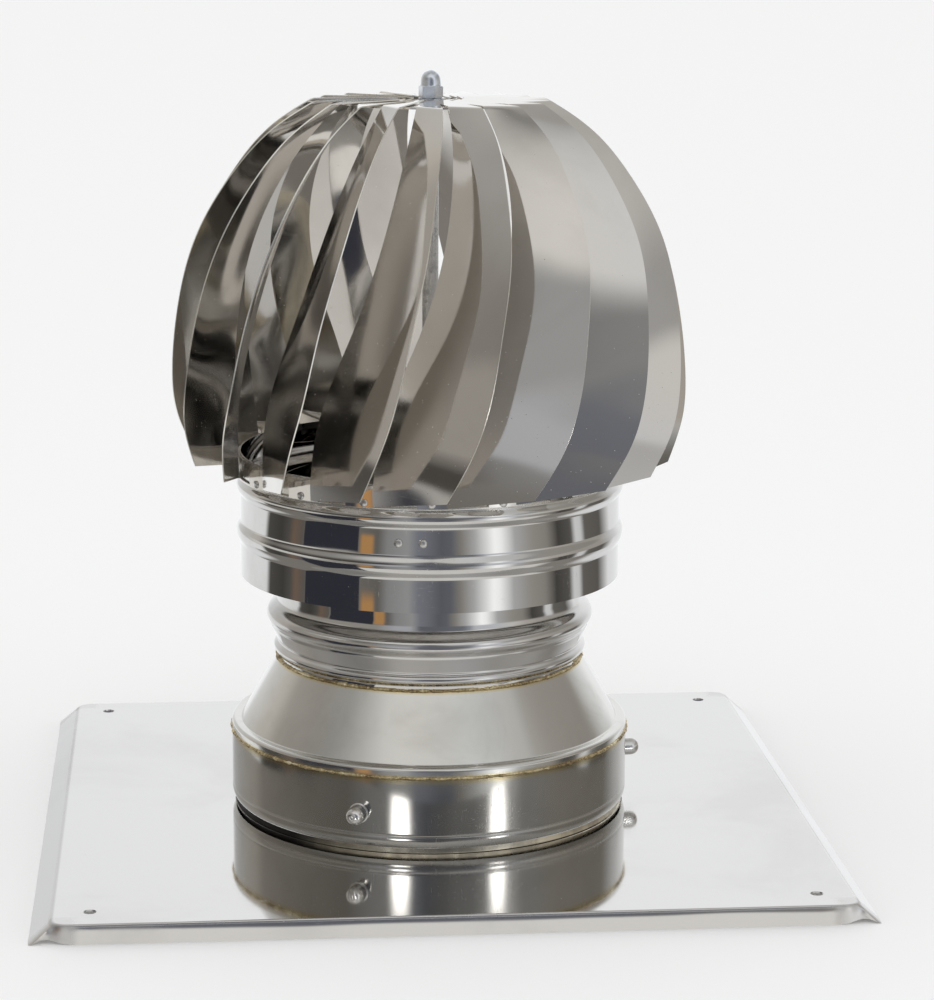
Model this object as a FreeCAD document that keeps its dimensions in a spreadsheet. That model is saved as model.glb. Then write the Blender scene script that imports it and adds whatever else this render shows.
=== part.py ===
"""Rotating chimney cowl: square base plate, screwed collar, reducer, neck and bladed rotor.

Millimetres, +Z up. The origin is on the flue's axis, level with the base plate's lower edges.
"""
import FreeCAD, Part

import math
import os

import Sketcher

Vector = FreeCAD.Vector
Placement = FreeCAD.Placement
Rotation = FreeCAD.Rotation
Z_AXIS = Vector(0, 0, 1)
ORIGIN = Vector(0, 0, 0)

# Points of a sketch curve.
START, END, CENTRE = range(1, 4)

# Driving dimensions, in millimetres and degrees.
DIMENSIONS = {
    # Which way the front of the photographed cowl faces, from -Y towards +X.
    "front_turn": -4.5,
    # How far drills and other cutters run past what they cut.
    "overrun": 5.0,
    # Base plate, folded from one sheet.
    "plate_side": 369.8,
    "plate_wall": 0.8,
    "flange_drop": 9.7,
    "flare_reach": 11.0,
    "fixing_inset": 16.9,
    "fixing_hole": 3.1,
    # Spigot and collar.
    "sheet": 0.6,
    "nest_gap": 0.1,
    "collar_radius": 100.5,
    "foot_height": 3.6,
    "foot_roll": 1.2,
    "collar_height": 35.4,
    "groove_above_foot": 5.0,
    "groove_width": 1.4,
    "groove_depth": 0.4,
    "spigot_height": 33.0,
    # Collar screws.
    "screw_height": 20.0,
    "screw_shank": 2.0,
    "screw_head_radius": 3.5,
    "screw_head_length": 6.4,
    "screw_nose": 2.6,
    "screw_nose_inset": 0.7,
    "screw_nose_rise": 1.7,
    "screw_socket": 1.7,
    "screw_socket_depth": 3.4,
    "screw_first_turn": -24.0,
    "screw_count": 3.0,
    # Reducer.
    "rim_height": 3.0,
    "rim_round": 1.6,
    "ledge_step": 5.0,
    "cone_height": 32.1,
    # Neck.
    "neck_radius": 77.0,
    "neck_height": 88.0,
    "small_bead_start": 2.4,
    "small_bead_height": 6.0,
    "small_bead_rise": 2.0,
    "large_bead_start": 17.3,
    "large_bead_height": 12.0,
    "large_bead_rise": 5.3,
    # Bearing housing in the neck.
    "bracket_width": 34.0,
    "bracket_wall": 2.0,
    "bracket_tab": 14.0,
    "bracket_tab_depth": 3.9,
    "bracket_spread": 28.0,
    "bracket_below_top": 8.0,
    "rivet_shank": 2.0,
    "rivet_head": 3.8,
    "rivet_tail": 3.4,
    "rivet_head_rise": 1.2,
    "housing_wall": 2.0,
    "bearing_shoulder": 1.2,
    "housing_height": 46.0,
    "housing_below_top": 1.0,
    "bearing_radius": 11.0,
    "bearing_height": 7.0,
    "race_wall": 2.2,
    "race_groove": 0.7,
    "ball_count": 7.0,
    "running_gap": 0.05,
    # Spindle and what clamps on it.
    "spindle_radius": 4.0,
    "shoulder_depth": 1.0,
    "spindle_collar_depth": 2.0,
    "spindle_collar_height": 5.0,
    "end_washer_reach": 2.5,
    "end_washer_wall": 1.6,
    "end_nut_flats": 13.0,
    "end_nut_height": 6.5,
    "spindle_tail": 3.0,
    "shoulder_washer_radius": 16.0,
    "shoulder_washer_wall": 1.6,
    "top_washer_radius": 6.1,
    "top_washer_wall": 1.2,
    "cap_nut_flats": 10.6,
    "cap_nut_hex_height": 6.1,
    "cap_nut_dome_inset": 0.2,
    "cap_nut_crown_wall": 3.0,
    "stub_end_gap": 0.2,
    "cap_nut_height": 13.7,
    "cap_nut_turn": 14.0,
    # Rotor skirt and its ring.
    "skirt_stand_off": 18.4,
    "skirt_height": 62.0,
    "skirt_lap": 44.7,
    "low_bead_start": 17.0,
    "low_bead_height": 10.6,
    "high_bead_start": 41.4,
    "high_bead_height": 8.0,
    "skirt_bead_rise": 1.8,
    "ring_above_bead": 0.9,
    "ring_reach": 10.6,
    "ring_wall": 0.8,
    "ring_leg": 11.0,
    "seam_rivet_shank": 0.9,
    "seam_rivet_head": 1.9,
    "seam_rivet_rise": 0.9,
    "seam_rivet_height": 34.0,
    "seam_rivet_turn": -13.5,
    "seam_rivet_step": 7.1,
    "seam_rivet_count": 2.0,
    # Blades.
    "blade_count": 18.0,
    "blade_wall": 0.6,
    "petal_end_radius": 17.0,
    "disc_inset": 1.5,
    "disc_wall": 1.0,
    "disc_bore_gap": 0.2,
    "flange_foot_gap": 0.05,
    "flange_height": 8.2,
    "flange_inset": 0.4,
    "flange_inner_turn": -35.2,
    "foot_leg_gap": 1.9,
    "foot_short_side": 1.2,
    "foot_rivet_inset": 1.8,
    "foot_rivet_turn": -19.5,
    "foot_rivet_shank": 1.0,
    "foot_rivet_head": 1.7,
    "foot_rivet_rise": 0.8,
}

# The blade's two edges at eight levels. Level is the height above the blade's lower fold, and
# reach is how far the edge stands outside the skirt's wall, less than nothing near the crown.
# Each row: name, level, outer reach, outer turn, inner reach, inner turn.
BLADE_LEVELS = [
    ("hem", 0.0, 24.1, -16.1, 6.1, -40.5),
    ("lower", 20.5, 31.4, -11.2, 6.1, -36.6),
    ("belly", 41.0, 32.9, -7.9, 4.1, -31.6),
    ("waist", 76.5, 29.6, -4.4, -0.9, -24.4),
    ("upper", 111.5, 20.6, -1.0, -6.6, -17.8),
    ("shoulder", 141.5, 3.6, 1.2, -18.9, -14.5),
    ("brow", 162.5, -14.9, 3.2, -33.4, -12.7),
    ("crown", 176.9, -36.4, 5.1, -47.9, -11.7),
]
LEVEL_COLUMNS = ("level", "outer_reach", "outer_turn", "inner_reach", "inner_turn")


class Size:
    """A length or angle together with the sheet expression that gives it."""

    def __init__(self, value, text):
        self.value = value
        self.text = text

    def combined(self, other, sign, result):
        text = other.text if isinstance(other, Size) else repr(float(other))
        return Size(result, f"({self.text} {sign} {text})")

    def __add__(self, other):
        return self.combined(other, "+", self.value + number(other))

    def __sub__(self, other):
        return self.combined(other, "-", self.value - number(other))

    def __mul__(self, other):
        return self.combined(other, "*", self.value * number(other))

    def __truediv__(self, other):
        return self.combined(other, "/", self.value / number(other))

    def __neg__(self):
        return self * -1.0


def number(item):
    return item.value if isinstance(item, Size) else float(item)


def root_of(item):
    return Size(math.sqrt(item.value), f"sqrt({item.text})")


doc = FreeCAD.newDocument("ChimneyCowl")
sheet = doc.addObject("Spreadsheet::Sheet", "Sizes")


def fill_sheet():
    rows = dict(DIMENSIONS)
    for name, *numbers in BLADE_LEVELS:
        for column, entry in zip(LEVEL_COLUMNS, numbers):
            rows[f"{name}_{column}"] = entry
    for row, (alias, entry) in enumerate(rows.items(), start=1):
        sheet.set(f"A{row}", alias.replace("_", " "))
        sheet.set(f"B{row}", str(entry))
        sheet.setAlias(f"B{row}", alias)
    doc.recompute()
    return {alias: Size(float(sheet.get(alias)), f"Sizes.{alias}") for alias in rows}


size = fill_sheet()
finished = {}


def bind(item, **properties):
    """Set properties, binding those that are given as a Size."""
    for name, entry in properties.items():
        if isinstance(entry, Size):
            setattr(item, name, entry.value)
            item.setExpression(name, entry.text)
        else:
            setattr(item, name, entry)
    return item


def place(item, x=0.0, y=0.0, z=0.0):
    for axis, entry in zip("xyz", (x, y, z)):
        if isinstance(entry, Size):
            item.setExpression(f"Placement.Base.{axis}", entry.text)
    item.Placement.Base = Vector(number(x), number(y), number(z))
    return item


def made(kind, label, z=0.0, x=0.0, y=0.0, **properties):
    item = doc.addObject(kind, label)
    item.Label = label
    bind(item, **properties)
    return place(item, x, y, z)


def cylinder(label, radius, height, z, x=0.0, y=0.0):
    return made("Part::Cylinder", label, z, x, y, Radius=radius, Height=height)


def hexagon(label, flats, height, z):
    corners = flats / math.sqrt(3.0)
    return made("Part::Prism", label, z, Polygon=6, Circumradius=corners, Height=height)


def cut(label, base, tool):
    return made("Part::Cut", label, Base=base, Tool=tool)


def joined(label, *pieces):
    return made("Part::MultiFuse", label, Shapes=list(pieces))


def group(label, pieces):
    return made("Part::Compound", label, Links=list(pieces))


def node(label, item):
    """Declare a finished sub-part: its label names its file."""
    item.Label = label
    finished[label] = item
    return item


def ring(label, outer, inner, height, z):
    """A plain washer or race."""
    body = cylinder(f"{label}_body", outer, height, z)
    past = size["overrun"]
    hole = cylinder(f"{label}_hole", inner, height + past * 2.0, z - past)
    return cut(label, body, hole)


def around(label, source, turns):
    """Copies of one shape turned about the flue's axis."""
    copies = []
    for index, turn in enumerate(turns):
        copy = doc.addObject("Part::Feature", f"{label}_{index + 1}")
        copy.Shape = source.Shape
        copy.Placement = Placement(ORIGIN, Rotation(Z_AXIS, turn)).multiply(source.Placement)
        copies.append(copy)
    return copies


def origin_plane(body, role):
    return next(item for item in body.Origin.OriginFeatures if item.Role == role)


def sketch_on(body, name, role):
    sketch = body.newObject("Sketcher::SketchObject", name)
    sketch.AttachmentSupport = [(origin_plane(body, role), "")]
    sketch.MapMode = "FlatFace"
    return sketch


def fix_point(sketch, geometry, end, x=None, y=None):
    """Hold a point of a sketch curve at sheet-driven coordinates."""
    for kind, entry in (("DistanceX", x), ("DistanceY", y)):
        if entry is None:
            continue
        constraint = Sketcher.Constraint(kind, -1, 1, geometry, end, number(entry))
        index = sketch.addConstraint(constraint)
        if isinstance(entry, Size):
            sketch.setExpression(f"Constraints[{index}]", entry.text)


def draw_outline(sketch, outline):
    """Draw a closed outline. A corner is (x, y), or (x, y, rise) where an upright arc follows."""
    corners = [tuple(corner) + (None,) * (3 - len(corner)) for corner in outline]
    for index, (x, y, rise) in enumerate(corners):
        next_x, next_y, _ = corners[(index + 1) % len(corners)]
        start = Vector(number(x), number(y), 0)
        end = Vector(number(next_x), number(next_y), 0)
        if rise is None:
            line = sketch.addGeometry(Part.LineSegment(start, end), False)
            fix_point(sketch, line, START, x, y)
            fix_point(sketch, line, END, next_x, next_y)
            continue
        middle = (start + end) / 2 + Vector(number(rise), 0, 0)
        upward = end.y > start.y
        low, high = (start, end) if upward else (end, start)
        arc = sketch.addGeometry(Part.Arc(low, middle, high), False)
        span = (next_y - y) / 2.0
        radius = (span * span + rise * rise) / (rise * 2.0)
        fix_point(sketch, arc, CENTRE, x + rise - radius)
        fix_point(sketch, arc, START if upward else END, x, y)
        fix_point(sketch, arc, END if upward else START, next_x, next_y)


def turned(label, outline):
    """A body of revolution about Z from an outline of (radius, height) corners."""
    body = doc.addObject("PartDesign::Body", label)
    sketch = sketch_on(body, f"{label}_outline", "XZ_Plane")
    draw_outline(sketch, outline)
    doc.recompute()
    turn = body.newObject("PartDesign::Revolution", f"{label}_turn")
    turn.Profile = sketch
    turn.ReferenceAxis = (sketch, ["V_Axis"])
    turn.Angle = 360.0
    body.Tip = turn
    return body


def tube_outline(radius, wall, low, high, beads):
    """A thin tube whose wall is pressed outwards at each (start, height, rise)."""
    outer = [(radius, low)]
    inner = [(radius - wall, low)]
    for start, height, rise in beads:
        foot = low + start
        head = foot + height
        outer += [(radius, foot, rise), (radius, head)]
        inner += [(radius - wall, foot + wall), (radius - wall, head - wall, rise)]
    outer.append((radius, high))
    inner.append((radius - wall, high))
    return outer + inner[::-1]


# Heights that the pieces share.
plate_top = size["flange_drop"]
collar_foot = plate_top + size["foot_height"]
collar_top = collar_foot + size["collar_height"]
ledge_height = collar_top + size["rim_height"] + size["rim_round"]
cone_top = ledge_height + size["cone_height"]
neck_top = cone_top + size["neck_height"]
skirt_foot = neck_top - size["skirt_lap"]
skirt_top = skirt_foot + size["skirt_height"]
ring_height = (
    skirt_foot + size["high_bead_start"] + size["high_bead_height"] + size["ring_above_bead"]
)
ring_top = ring_height + size["ring_wall"]
foot_bottom = ring_top + size["flange_foot_gap"]
foot_top = foot_bottom + size["blade_wall"]
hem_height = foot_bottom + size["flange_height"]
crown_height = hem_height + size["crown_level"]
disc_top = crown_height - size["blade_wall"]
disc_bottom = disc_top - size["disc_wall"]
spindle_shoulder = disc_bottom - size["shoulder_washer_wall"]
housing_top = neck_top - size["housing_below_top"]
housing_bottom = housing_top - size["housing_height"]
upper_bearing = housing_top - size["bearing_height"]
lower_bearing = housing_bottom
screw_level = plate_top + size["screw_height"]

# Radii that the pieces share.
collar_inner = size["collar_radius"] - size["sheet"]
spigot_outer = collar_inner - size["nest_gap"]
spigot_inner = spigot_outer - size["sheet"]
ledge_radius = size["collar_radius"] - size["ledge_step"]
neck_inner = size["neck_radius"] - size["sheet"]
skirt_radius = size["neck_radius"] + size["skirt_stand_off"]
ring_inner = skirt_radius + size["nest_gap"]
leg_radius = ring_inner + size["ring_wall"]
ring_radius = skirt_radius + size["ring_reach"]
flange_radius = ring_radius - size["flange_inset"]
foot_end_radius = leg_radius + size["foot_leg_gap"]
flange_inner_radius = foot_end_radius + size["foot_short_side"]
foot_rivet_radius = foot_end_radius + size["foot_rivet_inset"]
disc_radius = skirt_radius + size["crown_inner_reach"] - size["disc_inset"]
housing_radius = size["bearing_radius"] + size["housing_wall"]
stub_radius = size["spindle_radius"] - size["shoulder_depth"]
spindle_collar_radius = size["spindle_radius"] + size["spindle_collar_depth"]


def copies_around(name, first=0.0):
    """Evenly spaced turns, in degrees, for a count that the sheet holds."""
    count = int(round(size[f"{name}_count"].value))
    return [number(first) + 360.0 * step / count for step in range(count)]


def screw_holes(label):
    """Three radial cylinders where the collar screws pass."""
    shank = size["screw_shank"] + size["nest_gap"]
    drill = cylinder(f"{label}_drill", shank, size["collar_radius"] + size["overrun"], 0.0)
    drill.Placement = Placement(
        Vector(0, 0, screw_level.value), Rotation(Vector(1, 0, 0), 90)
    )
    drill.setExpression("Placement.Base.z", screw_level.text)
    doc.recompute()
    turns = copies_around("screw", size["screw_first_turn"])
    return group(f"{label}_drills", around(f"{label}_hole", drill, turns))


def base_plate():
    """One sheet: flat top, steep front and back flanges, flared side flanges."""
    body = doc.addObject("PartDesign::Body", "plate_body")
    half = size["plate_side"] / 2.0
    wall = size["plate_wall"]
    reach = size["flare_reach"]
    drop = size["flange_drop"]
    slope_length = root_of(reach * reach + drop * drop)
    tip_width = wall * slope_length / drop
    knee = half + wall * reach / drop - tip_width
    flared = [
        (-(half + reach), 0.0),
        (-half, drop),
        (half, drop),
        (half + reach, 0.0),
        (half + reach - tip_width, 0.0),
        (knee, drop - wall),
        (-knee, drop - wall),
        (-(half + reach - tip_width), 0.0),
    ]
    across = sketch_on(body, "plate_side_section", "XZ_Plane")
    draw_outline(across, flared)
    doc.recompute()
    pad = body.newObject("PartDesign::Pad", "plate_sheet")
    pad.Profile = across
    bind(pad, Length=size["plate_side"])
    pad.Midplane = True
    body.Tip = pad
    steep = [
        (-half, 0.0),
        (-half, drop),
        (half, drop),
        (half, 0.0),
        (half - wall, 0.0),
        (half - wall, drop - wall),
        (-(half - wall), drop - wall),
        (-(half - wall), 0.0),
    ]
    along = sketch_on(body, "plate_front_section", "YZ_Plane")
    draw_outline(along, steep)
    doc.recompute()
    fold = body.newObject("PartDesign::Pad", "plate_front_flanges")
    fold.Profile = along
    bind(fold, Length=size["plate_side"])
    fold.Midplane = True
    body.Tip = fold
    holes = sketch_on(body, "plate_holes", "XY_Plane")
    spacing = half - size["fixing_inset"]
    centres = [(0.0, 0.0, spigot_inner)]
    for side in (-1, 1):
        for end in (-1, 1):
            centres.append((spacing * side, spacing * end, size["fixing_hole"]))
    for x, y, radius in centres:
        circle = Part.Circle(Vector(number(x), number(y), 0), Z_AXIS, radius.value)
        index = holes.addGeometry(circle, False)
        constraint = holes.addConstraint(Sketcher.Constraint("Radius", index, radius.value))
        holes.setExpression(f"Constraints[{constraint}]", radius.text)
        if isinstance(x, Size):
            fix_point(holes, index, CENTRE, x, y)
        else:
            holes.addConstraint(Sketcher.Constraint("Coincident", index, CENTRE, -1, 1))
    doc.recompute()
    pocket = body.newObject("PartDesign::Pocket", "plate_hole_cut")
    pocket.Profile = holes
    pocket.Type = "ThroughAll"
    pocket.Midplane = True
    body.Tip = pocket
    return node("base_plate", body)


def spigot_and_collar():
    roll = size["foot_roll"]
    foot = size["foot_height"]
    spigot_top = plate_top + size["spigot_height"]
    spigot = turned("spigot_body", [
        (spigot_inner, plate_top),
        (spigot_outer, plate_top, roll),
        (spigot_outer, plate_top + foot - size["nest_gap"]),
        (spigot_outer, spigot_top),
        (spigot_inner, spigot_top),
    ])
    groove = collar_foot + size["groove_above_foot"]
    width = size["groove_width"]
    outer = size["collar_radius"]
    dip = outer - size["groove_depth"]
    collar = turned("collar_body", [
        (outer, collar_foot),
        (outer, groove),
        (dip, groove + width / 2.0),
        (outer, groove + width),
        (outer, collar_top),
        (collar_inner, collar_top),
        (collar_inner, spigot_top),
        (collar_inner, collar_foot),
    ])
    node("plate_spigot", cut("spigot_drilled", spigot, screw_holes("spigot")))
    node("base_collar", cut("collar_drilled", collar, screw_holes("collar")))


def collar_screws():
    """Round-nosed socket screws, their heads outside the collar."""
    radius = size["screw_head_radius"]
    socket = size["screw_socket"]
    core_radius = socket / 2.0
    tip = spigot_inner + size["running_gap"]
    seat = size["collar_radius"] + size["running_gap"]
    brim = seat + size["screw_head_length"]
    crown = brim + size["screw_nose"]
    floor = crown - size["screw_socket_depth"]
    head = turned("screw_body", [
        (core_radius, tip),
        (size["screw_shank"], tip),
        (size["screw_shank"], seat),
        (radius, seat),
        (radius, brim),
        (radius - size["screw_nose_inset"], brim + size["screw_nose_rise"]),
        (socket, crown),
        (socket, floor),
        (core_radius, floor),
    ])
    core = cylinder("screw_core", core_radius, floor - tip, tip)
    whole = joined("screw_upright", head, core)
    doc.recompute()
    laid = doc.addObject("Part::Feature", "screw_laid")
    laid.Shape = whole.Shape
    laid.Placement = Placement(Vector(0, 0, screw_level.value), Rotation(Vector(1, 0, 0), 90))
    screws = around("collar_screw", laid, copies_around("screw", size["screw_first_turn"]))
    node("collar_screws", group("collar_screw_set", screws))


def reducer_cone():
    outer = size["collar_radius"]
    wall = size["sheet"]
    neck = size["neck_radius"]
    half_way = math.sin(math.radians(45.0))
    mitre = math.tan(math.radians(22.5))
    rim_low = collar_top
    rim_high = rim_low + size["rim_height"]
    round_top = rim_high + size["rim_round"]
    lip = outer - size["rim_round"]
    body = turned("cone_body", [
        (outer, rim_low),
        (outer, rim_high),
        (lip + size["rim_round"] * half_way, rim_high + size["rim_round"] * half_way),
        (lip, round_top),
        (ledge_radius, ledge_height),
        (neck, cone_top),
        (neck - wall, cone_top),
        (ledge_radius - wall, ledge_height - wall),
        (lip - wall * mitre, round_top - wall),
        (outer - wall, rim_high),
        (outer - wall, rim_low),
    ])
    node("reducer_cone", body)


def neck_pipe():
    body = turned("neck_body", tube_outline(
        size["neck_radius"], size["sheet"], cone_top, neck_top,
        [
            (size["small_bead_start"], size["small_bead_height"], size["small_bead_rise"]),
            (size["large_bead_start"], size["large_bead_height"], size["large_bead_rise"]),
        ],
    ))
    hole = size["rivet_shank"] + size["nest_gap"]
    reach = size["neck_radius"] + size["overrun"]
    drills = []
    for name, level, turn in bracket_places():
        drill = cylinder(f"{name}_drill", hole, reach * 2.0, 0.0)
        drill.Placement = Placement(
            Rotation(Z_AXIS, turn).multVec(Vector(-reach.value, 0, level.value)),
            Rotation(Z_AXIS, turn).multiply(Rotation(Vector(0, 1, 0), 90)),
        )
        drills.append(drill)
    node("neck_pipe", cut("neck_drilled", body, group("neck_drills", drills)))


def bracket_places():
    """Each bar across the neck: name, height of its rivets, turn of the bar."""
    upper = neck_top - size["bracket_below_top"]
    half_tab = size["bracket_tab"] / 2.0
    return [
        ("upper_bracket", upper - half_tab, 0.0),
        ("lower_bracket", upper - size["bracket_spread"] - half_tab, 90.0),
    ]


def brackets():
    """Bars across the neck with ends bent down, riveted to the neck's wall."""
    wall = size["bracket_wall"]
    width = size["bracket_width"]
    reach = neck_inner - size["nest_gap"]
    shank = size["rivet_shank"]
    rise = size["rivet_head_rise"]
    tab = size["bracket_tab"]
    gap = size["nest_gap"]
    past = size["overrun"]
    inside = reach - size["bracket_tab_depth"]
    rivets = []
    for name, level, turn in bracket_places():
        top = level + tab / 2.0
        block = made(
            "Part::Box", f"{name}_block", top - tab, -reach, -(width / 2.0),
            Length=reach * 2.0, Width=width, Height=tab,
        )
        hollow = made(
            "Part::Box", f"{name}_hollow", top - tab - past, -inside, -width,
            Length=inside * 2.0, Width=width * 2.0, Height=tab + past - wall,
        )
        bent = cut(f"{name}_bent", block, hollow)
        shell = cylinder(f"{name}_shell", reach, tab + past * 2.0, top - tab - past)
        trimmed = made("Part::Common", f"{name}_trimmed", Base=bent, Tool=shell)
        eye = cylinder(f"{name}_eye", housing_radius + gap, tab, top - tab / 2.0)
        drill = cylinder(f"{name}_rivet_drill", shank + gap, (reach + past) * 2.0, 0.0)
        drill.Placement = Placement(
            Vector(-(reach + past).value, 0, level.value), Rotation(Vector(0, 1, 0), 90)
        )
        drill.setExpression("Placement.Base.z", level.text)
        pierced = cut(f"{name}_flat", trimmed, joined(f"{name}_tools", eye, drill))
        doc.recompute()
        bar = doc.addObject("Part::Feature", f"{name}_bar")
        bar.Shape = pierced.Shape
        bar.Placement = Placement(ORIGIN, Rotation(Z_AXIS, turn))
        node(name, bar)
        outside = size["neck_radius"] + gap
        rivet_low = inside - rise - gap
        shaft = cylinder(f"{name}_shaft", shank, outside - rivet_low, rivet_low)
        head = cylinder(f"{name}_head", size["rivet_head"], rise, outside)
        tail = cylinder(f"{name}_tail", size["rivet_tail"], rise, rivet_low)
        rivet = joined(f"{name}_rivet", shaft, head, tail)
        doc.recompute()
        laid = doc.addObject("Part::Feature", f"{name}_rivet_laid")
        laid.Shape = rivet.Shape
        laid.Placement = Placement(
            Vector(0, 0, level.value), Rotation(Vector(0, 1, 0), 90)
        )
        rivets += around(f"{name}_rivets", laid, [turn, turn + 180.0])
    node("bracket_rivets", group("bracket_rivet_set", rivets))


def bearing_housing():
    bore = size["bearing_radius"] - size["bearing_shoulder"]
    seat = size["bearing_radius"] + size["nest_gap"] / 2.0
    depth = size["bearing_height"]
    body = turned("housing_body", [
        (housing_radius, housing_bottom),
        (housing_radius, housing_top),
        (seat, housing_top),
        (seat, housing_top - depth),
        (bore, housing_top - depth),
        (bore, housing_bottom + depth),
        (seat, housing_bottom + depth),
        (seat, housing_bottom),
    ])
    node("bearing_tube", body)


def bearing(name, low):
    """A ball bearing: two grooved races and a ring of balls."""
    height = size["bearing_height"]
    outer = size["bearing_radius"]
    inner = size["spindle_radius"] + size["running_gap"]
    wall = size["race_wall"]
    track = (outer + inner) / 2.0
    middle = low + height / 2.0
    ball_radius = (outer - inner) / 2.0 - wall + size["race_groove"]
    groove = ball_radius + size["running_gap"]
    tool = made("Part::Torus", f"{name}_groove", middle, Radius1=track, Radius2=groove)
    outer_race = ring(f"{name}_outer_plain", outer, outer - wall, height, low)
    node(f"{name}_outer", cut(f"{name}_outer_race", outer_race, tool))
    inner_race = ring(f"{name}_inner_plain", inner + wall, inner, height, low)
    node(f"{name}_inner", cut(f"{name}_inner_race", inner_race, tool))
    ball = made("Part::Sphere", f"{name}_ball", middle, x=track, Radius=ball_radius)
    doc.recompute()
    balls = around(f"{name}_ball", ball, copies_around("ball"))
    node(f"{name}_balls", group(f"{name}_ball_set", balls))


def spindle():
    """Shaft with a collar on the upper bearing, a shoulder under the disc and a stub above."""
    radius = size["spindle_radius"]
    washer_low = lower_bearing - size["end_washer_wall"]
    nut_low = washer_low - size["end_nut_height"]
    tail_end = nut_low - size["spindle_tail"]
    nut_top = disc_top + size["top_washer_wall"] + size["cap_nut_height"]
    stub_top = nut_top - size["cap_nut_crown_wall"]
    shank = cylinder("spindle_shank", radius, spindle_shoulder - tail_end, tail_end)
    collar = cylinder(
        "spindle_collar", spindle_collar_radius, size["spindle_collar_height"], housing_top
    )
    stub = cylinder("spindle_stub", stub_radius, stub_top - spindle_shoulder, spindle_shoulder)
    node("spindle", joined("spindle_turned", shank, collar, stub))
    gap = size["running_gap"]
    node("bearing_spacer", ring(
        "spacer_tube", spindle_collar_radius, radius + gap,
        upper_bearing - lower_bearing - size["bearing_height"],
        lower_bearing + size["bearing_height"],
    ))
    node("end_washer", ring(
        "end_washer_ring", radius + size["end_washer_reach"], radius + gap,
        size["end_washer_wall"], washer_low,
    ))
    nut = hexagon("end_nut_hex", size["end_nut_flats"], size["end_nut_height"], nut_low)
    past = size["overrun"]
    nut_hole = cylinder(
        "end_nut_hole", radius + gap, size["end_nut_height"] + past * 2.0, nut_low - past
    )
    node("end_nut", cut("end_nut_cut", nut, nut_hole))
    node("shoulder_washer", ring(
        "shoulder_washer_ring", size["shoulder_washer_radius"], stub_radius + gap,
        size["shoulder_washer_wall"], spindle_shoulder,
    ))
    node("top_washer", ring(
        "top_washer_ring", size["top_washer_radius"], stub_radius + gap,
        size["top_washer_wall"], disc_top,
    ))
    cap_nut(disc_top + size["top_washer_wall"], stub_top)


def cap_nut(low, stub_top):
    """Domed hexagon nut on the spindle's end."""
    hex_part = hexagon("cap_nut_hex", size["cap_nut_flats"], size["cap_nut_hex_height"], low)
    hex_part.Placement.Rotation = Rotation(Z_AXIS, size["cap_nut_turn"].value)
    hex_part.setExpression("Placement.Rotation.Angle", size["cap_nut_turn"].text)
    dome = size["cap_nut_flats"] / 2.0 - size["cap_nut_dome_inset"]
    straight = size["cap_nut_height"] - dome
    barrel = cylinder("cap_nut_barrel", dome, straight, low)
    crown = made("Part::Sphere", "cap_nut_crown", low + straight, Radius=dome)
    solid = joined("cap_nut_solid", hex_part, barrel, crown)
    past = size["overrun"]
    depth = stub_top + size["stub_end_gap"] - low
    hole = cylinder("cap_nut_hole", stub_radius + size["running_gap"], depth + past, low - past)
    below = cylinder("cap_nut_below", dome * 2.0, dome, low - dome)
    node("cap_nut", cut("cap_nut_cut", solid, joined("cap_nut_tools", hole, below)))


def rotor_skirt():
    """Beaded band that laps over the neck, riveted at its seam."""
    rise = size["skirt_bead_rise"]
    body = turned("skirt_body", tube_outline(
        skirt_radius, size["sheet"], skirt_foot, skirt_top,
        [
            (size["low_bead_start"], size["low_bead_height"], rise),
            (size["high_bead_start"], size["high_bead_height"], rise),
        ],
    ))
    level = skirt_foot + size["seam_rivet_height"]
    count = int(round(size["seam_rivet_count"].value))
    step = size["seam_rivet_step"].value
    turns = [size["seam_rivet_turn"].value + step * index for index in range(count)]
    gap = size["nest_gap"]
    past = size["overrun"]
    flat = Rotation(Vector(1, 0, 0), 90)
    wall_inside = skirt_radius - size["sheet"]
    drill = cylinder("seam_drill", size["seam_rivet_shank"] + gap / 2.0, past * 2.0, 0.0)
    drill.Placement = Placement(Vector(0, -(wall_inside - past).value, level.value), flat)
    low = wall_inside - gap - size["seam_rivet_rise"]
    high = skirt_radius + gap
    shaft = cylinder("seam_shaft", size["seam_rivet_shank"], high - low, low)
    head = cylinder("seam_head", size["seam_rivet_head"], size["seam_rivet_rise"], high)
    tail = cylinder("seam_tail", size["seam_rivet_head"], size["seam_rivet_rise"], low)
    rivet = joined("seam_rivet", shaft, head, tail)
    doc.recompute()
    laid = doc.addObject("Part::Feature", "seam_rivet_laid")
    laid.Shape = rivet.Shape
    laid.Placement = Placement(Vector(0, 0, level.value), flat)
    drills = group("seam_drills", around("seam_hole", drill, turns))
    node("rotor_skirt", cut("skirt_drilled", body, drills))
    node("skirt_rivets", group("seam_rivet_set", around("seam_rivets", laid, turns)))


def polar(radius, turn, height):
    """A point at a turn from the photographed front, counter-clockwise seen from above."""
    angle = math.radians(number(turn) + size["front_turn"].value)
    out = number(radius)
    return Vector(out * math.sin(angle), -out * math.cos(angle), number(height))


def upright_at_foot(label, radius, height, level):
    """A vertical cylinder where the first blade's foot is riveted."""
    item = cylinder(label, radius, height, 0.0)
    spot = polar(foot_rivet_radius, size["foot_rivet_turn"], level)
    item.Placement = Placement(spot, Rotation())
    return item


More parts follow.
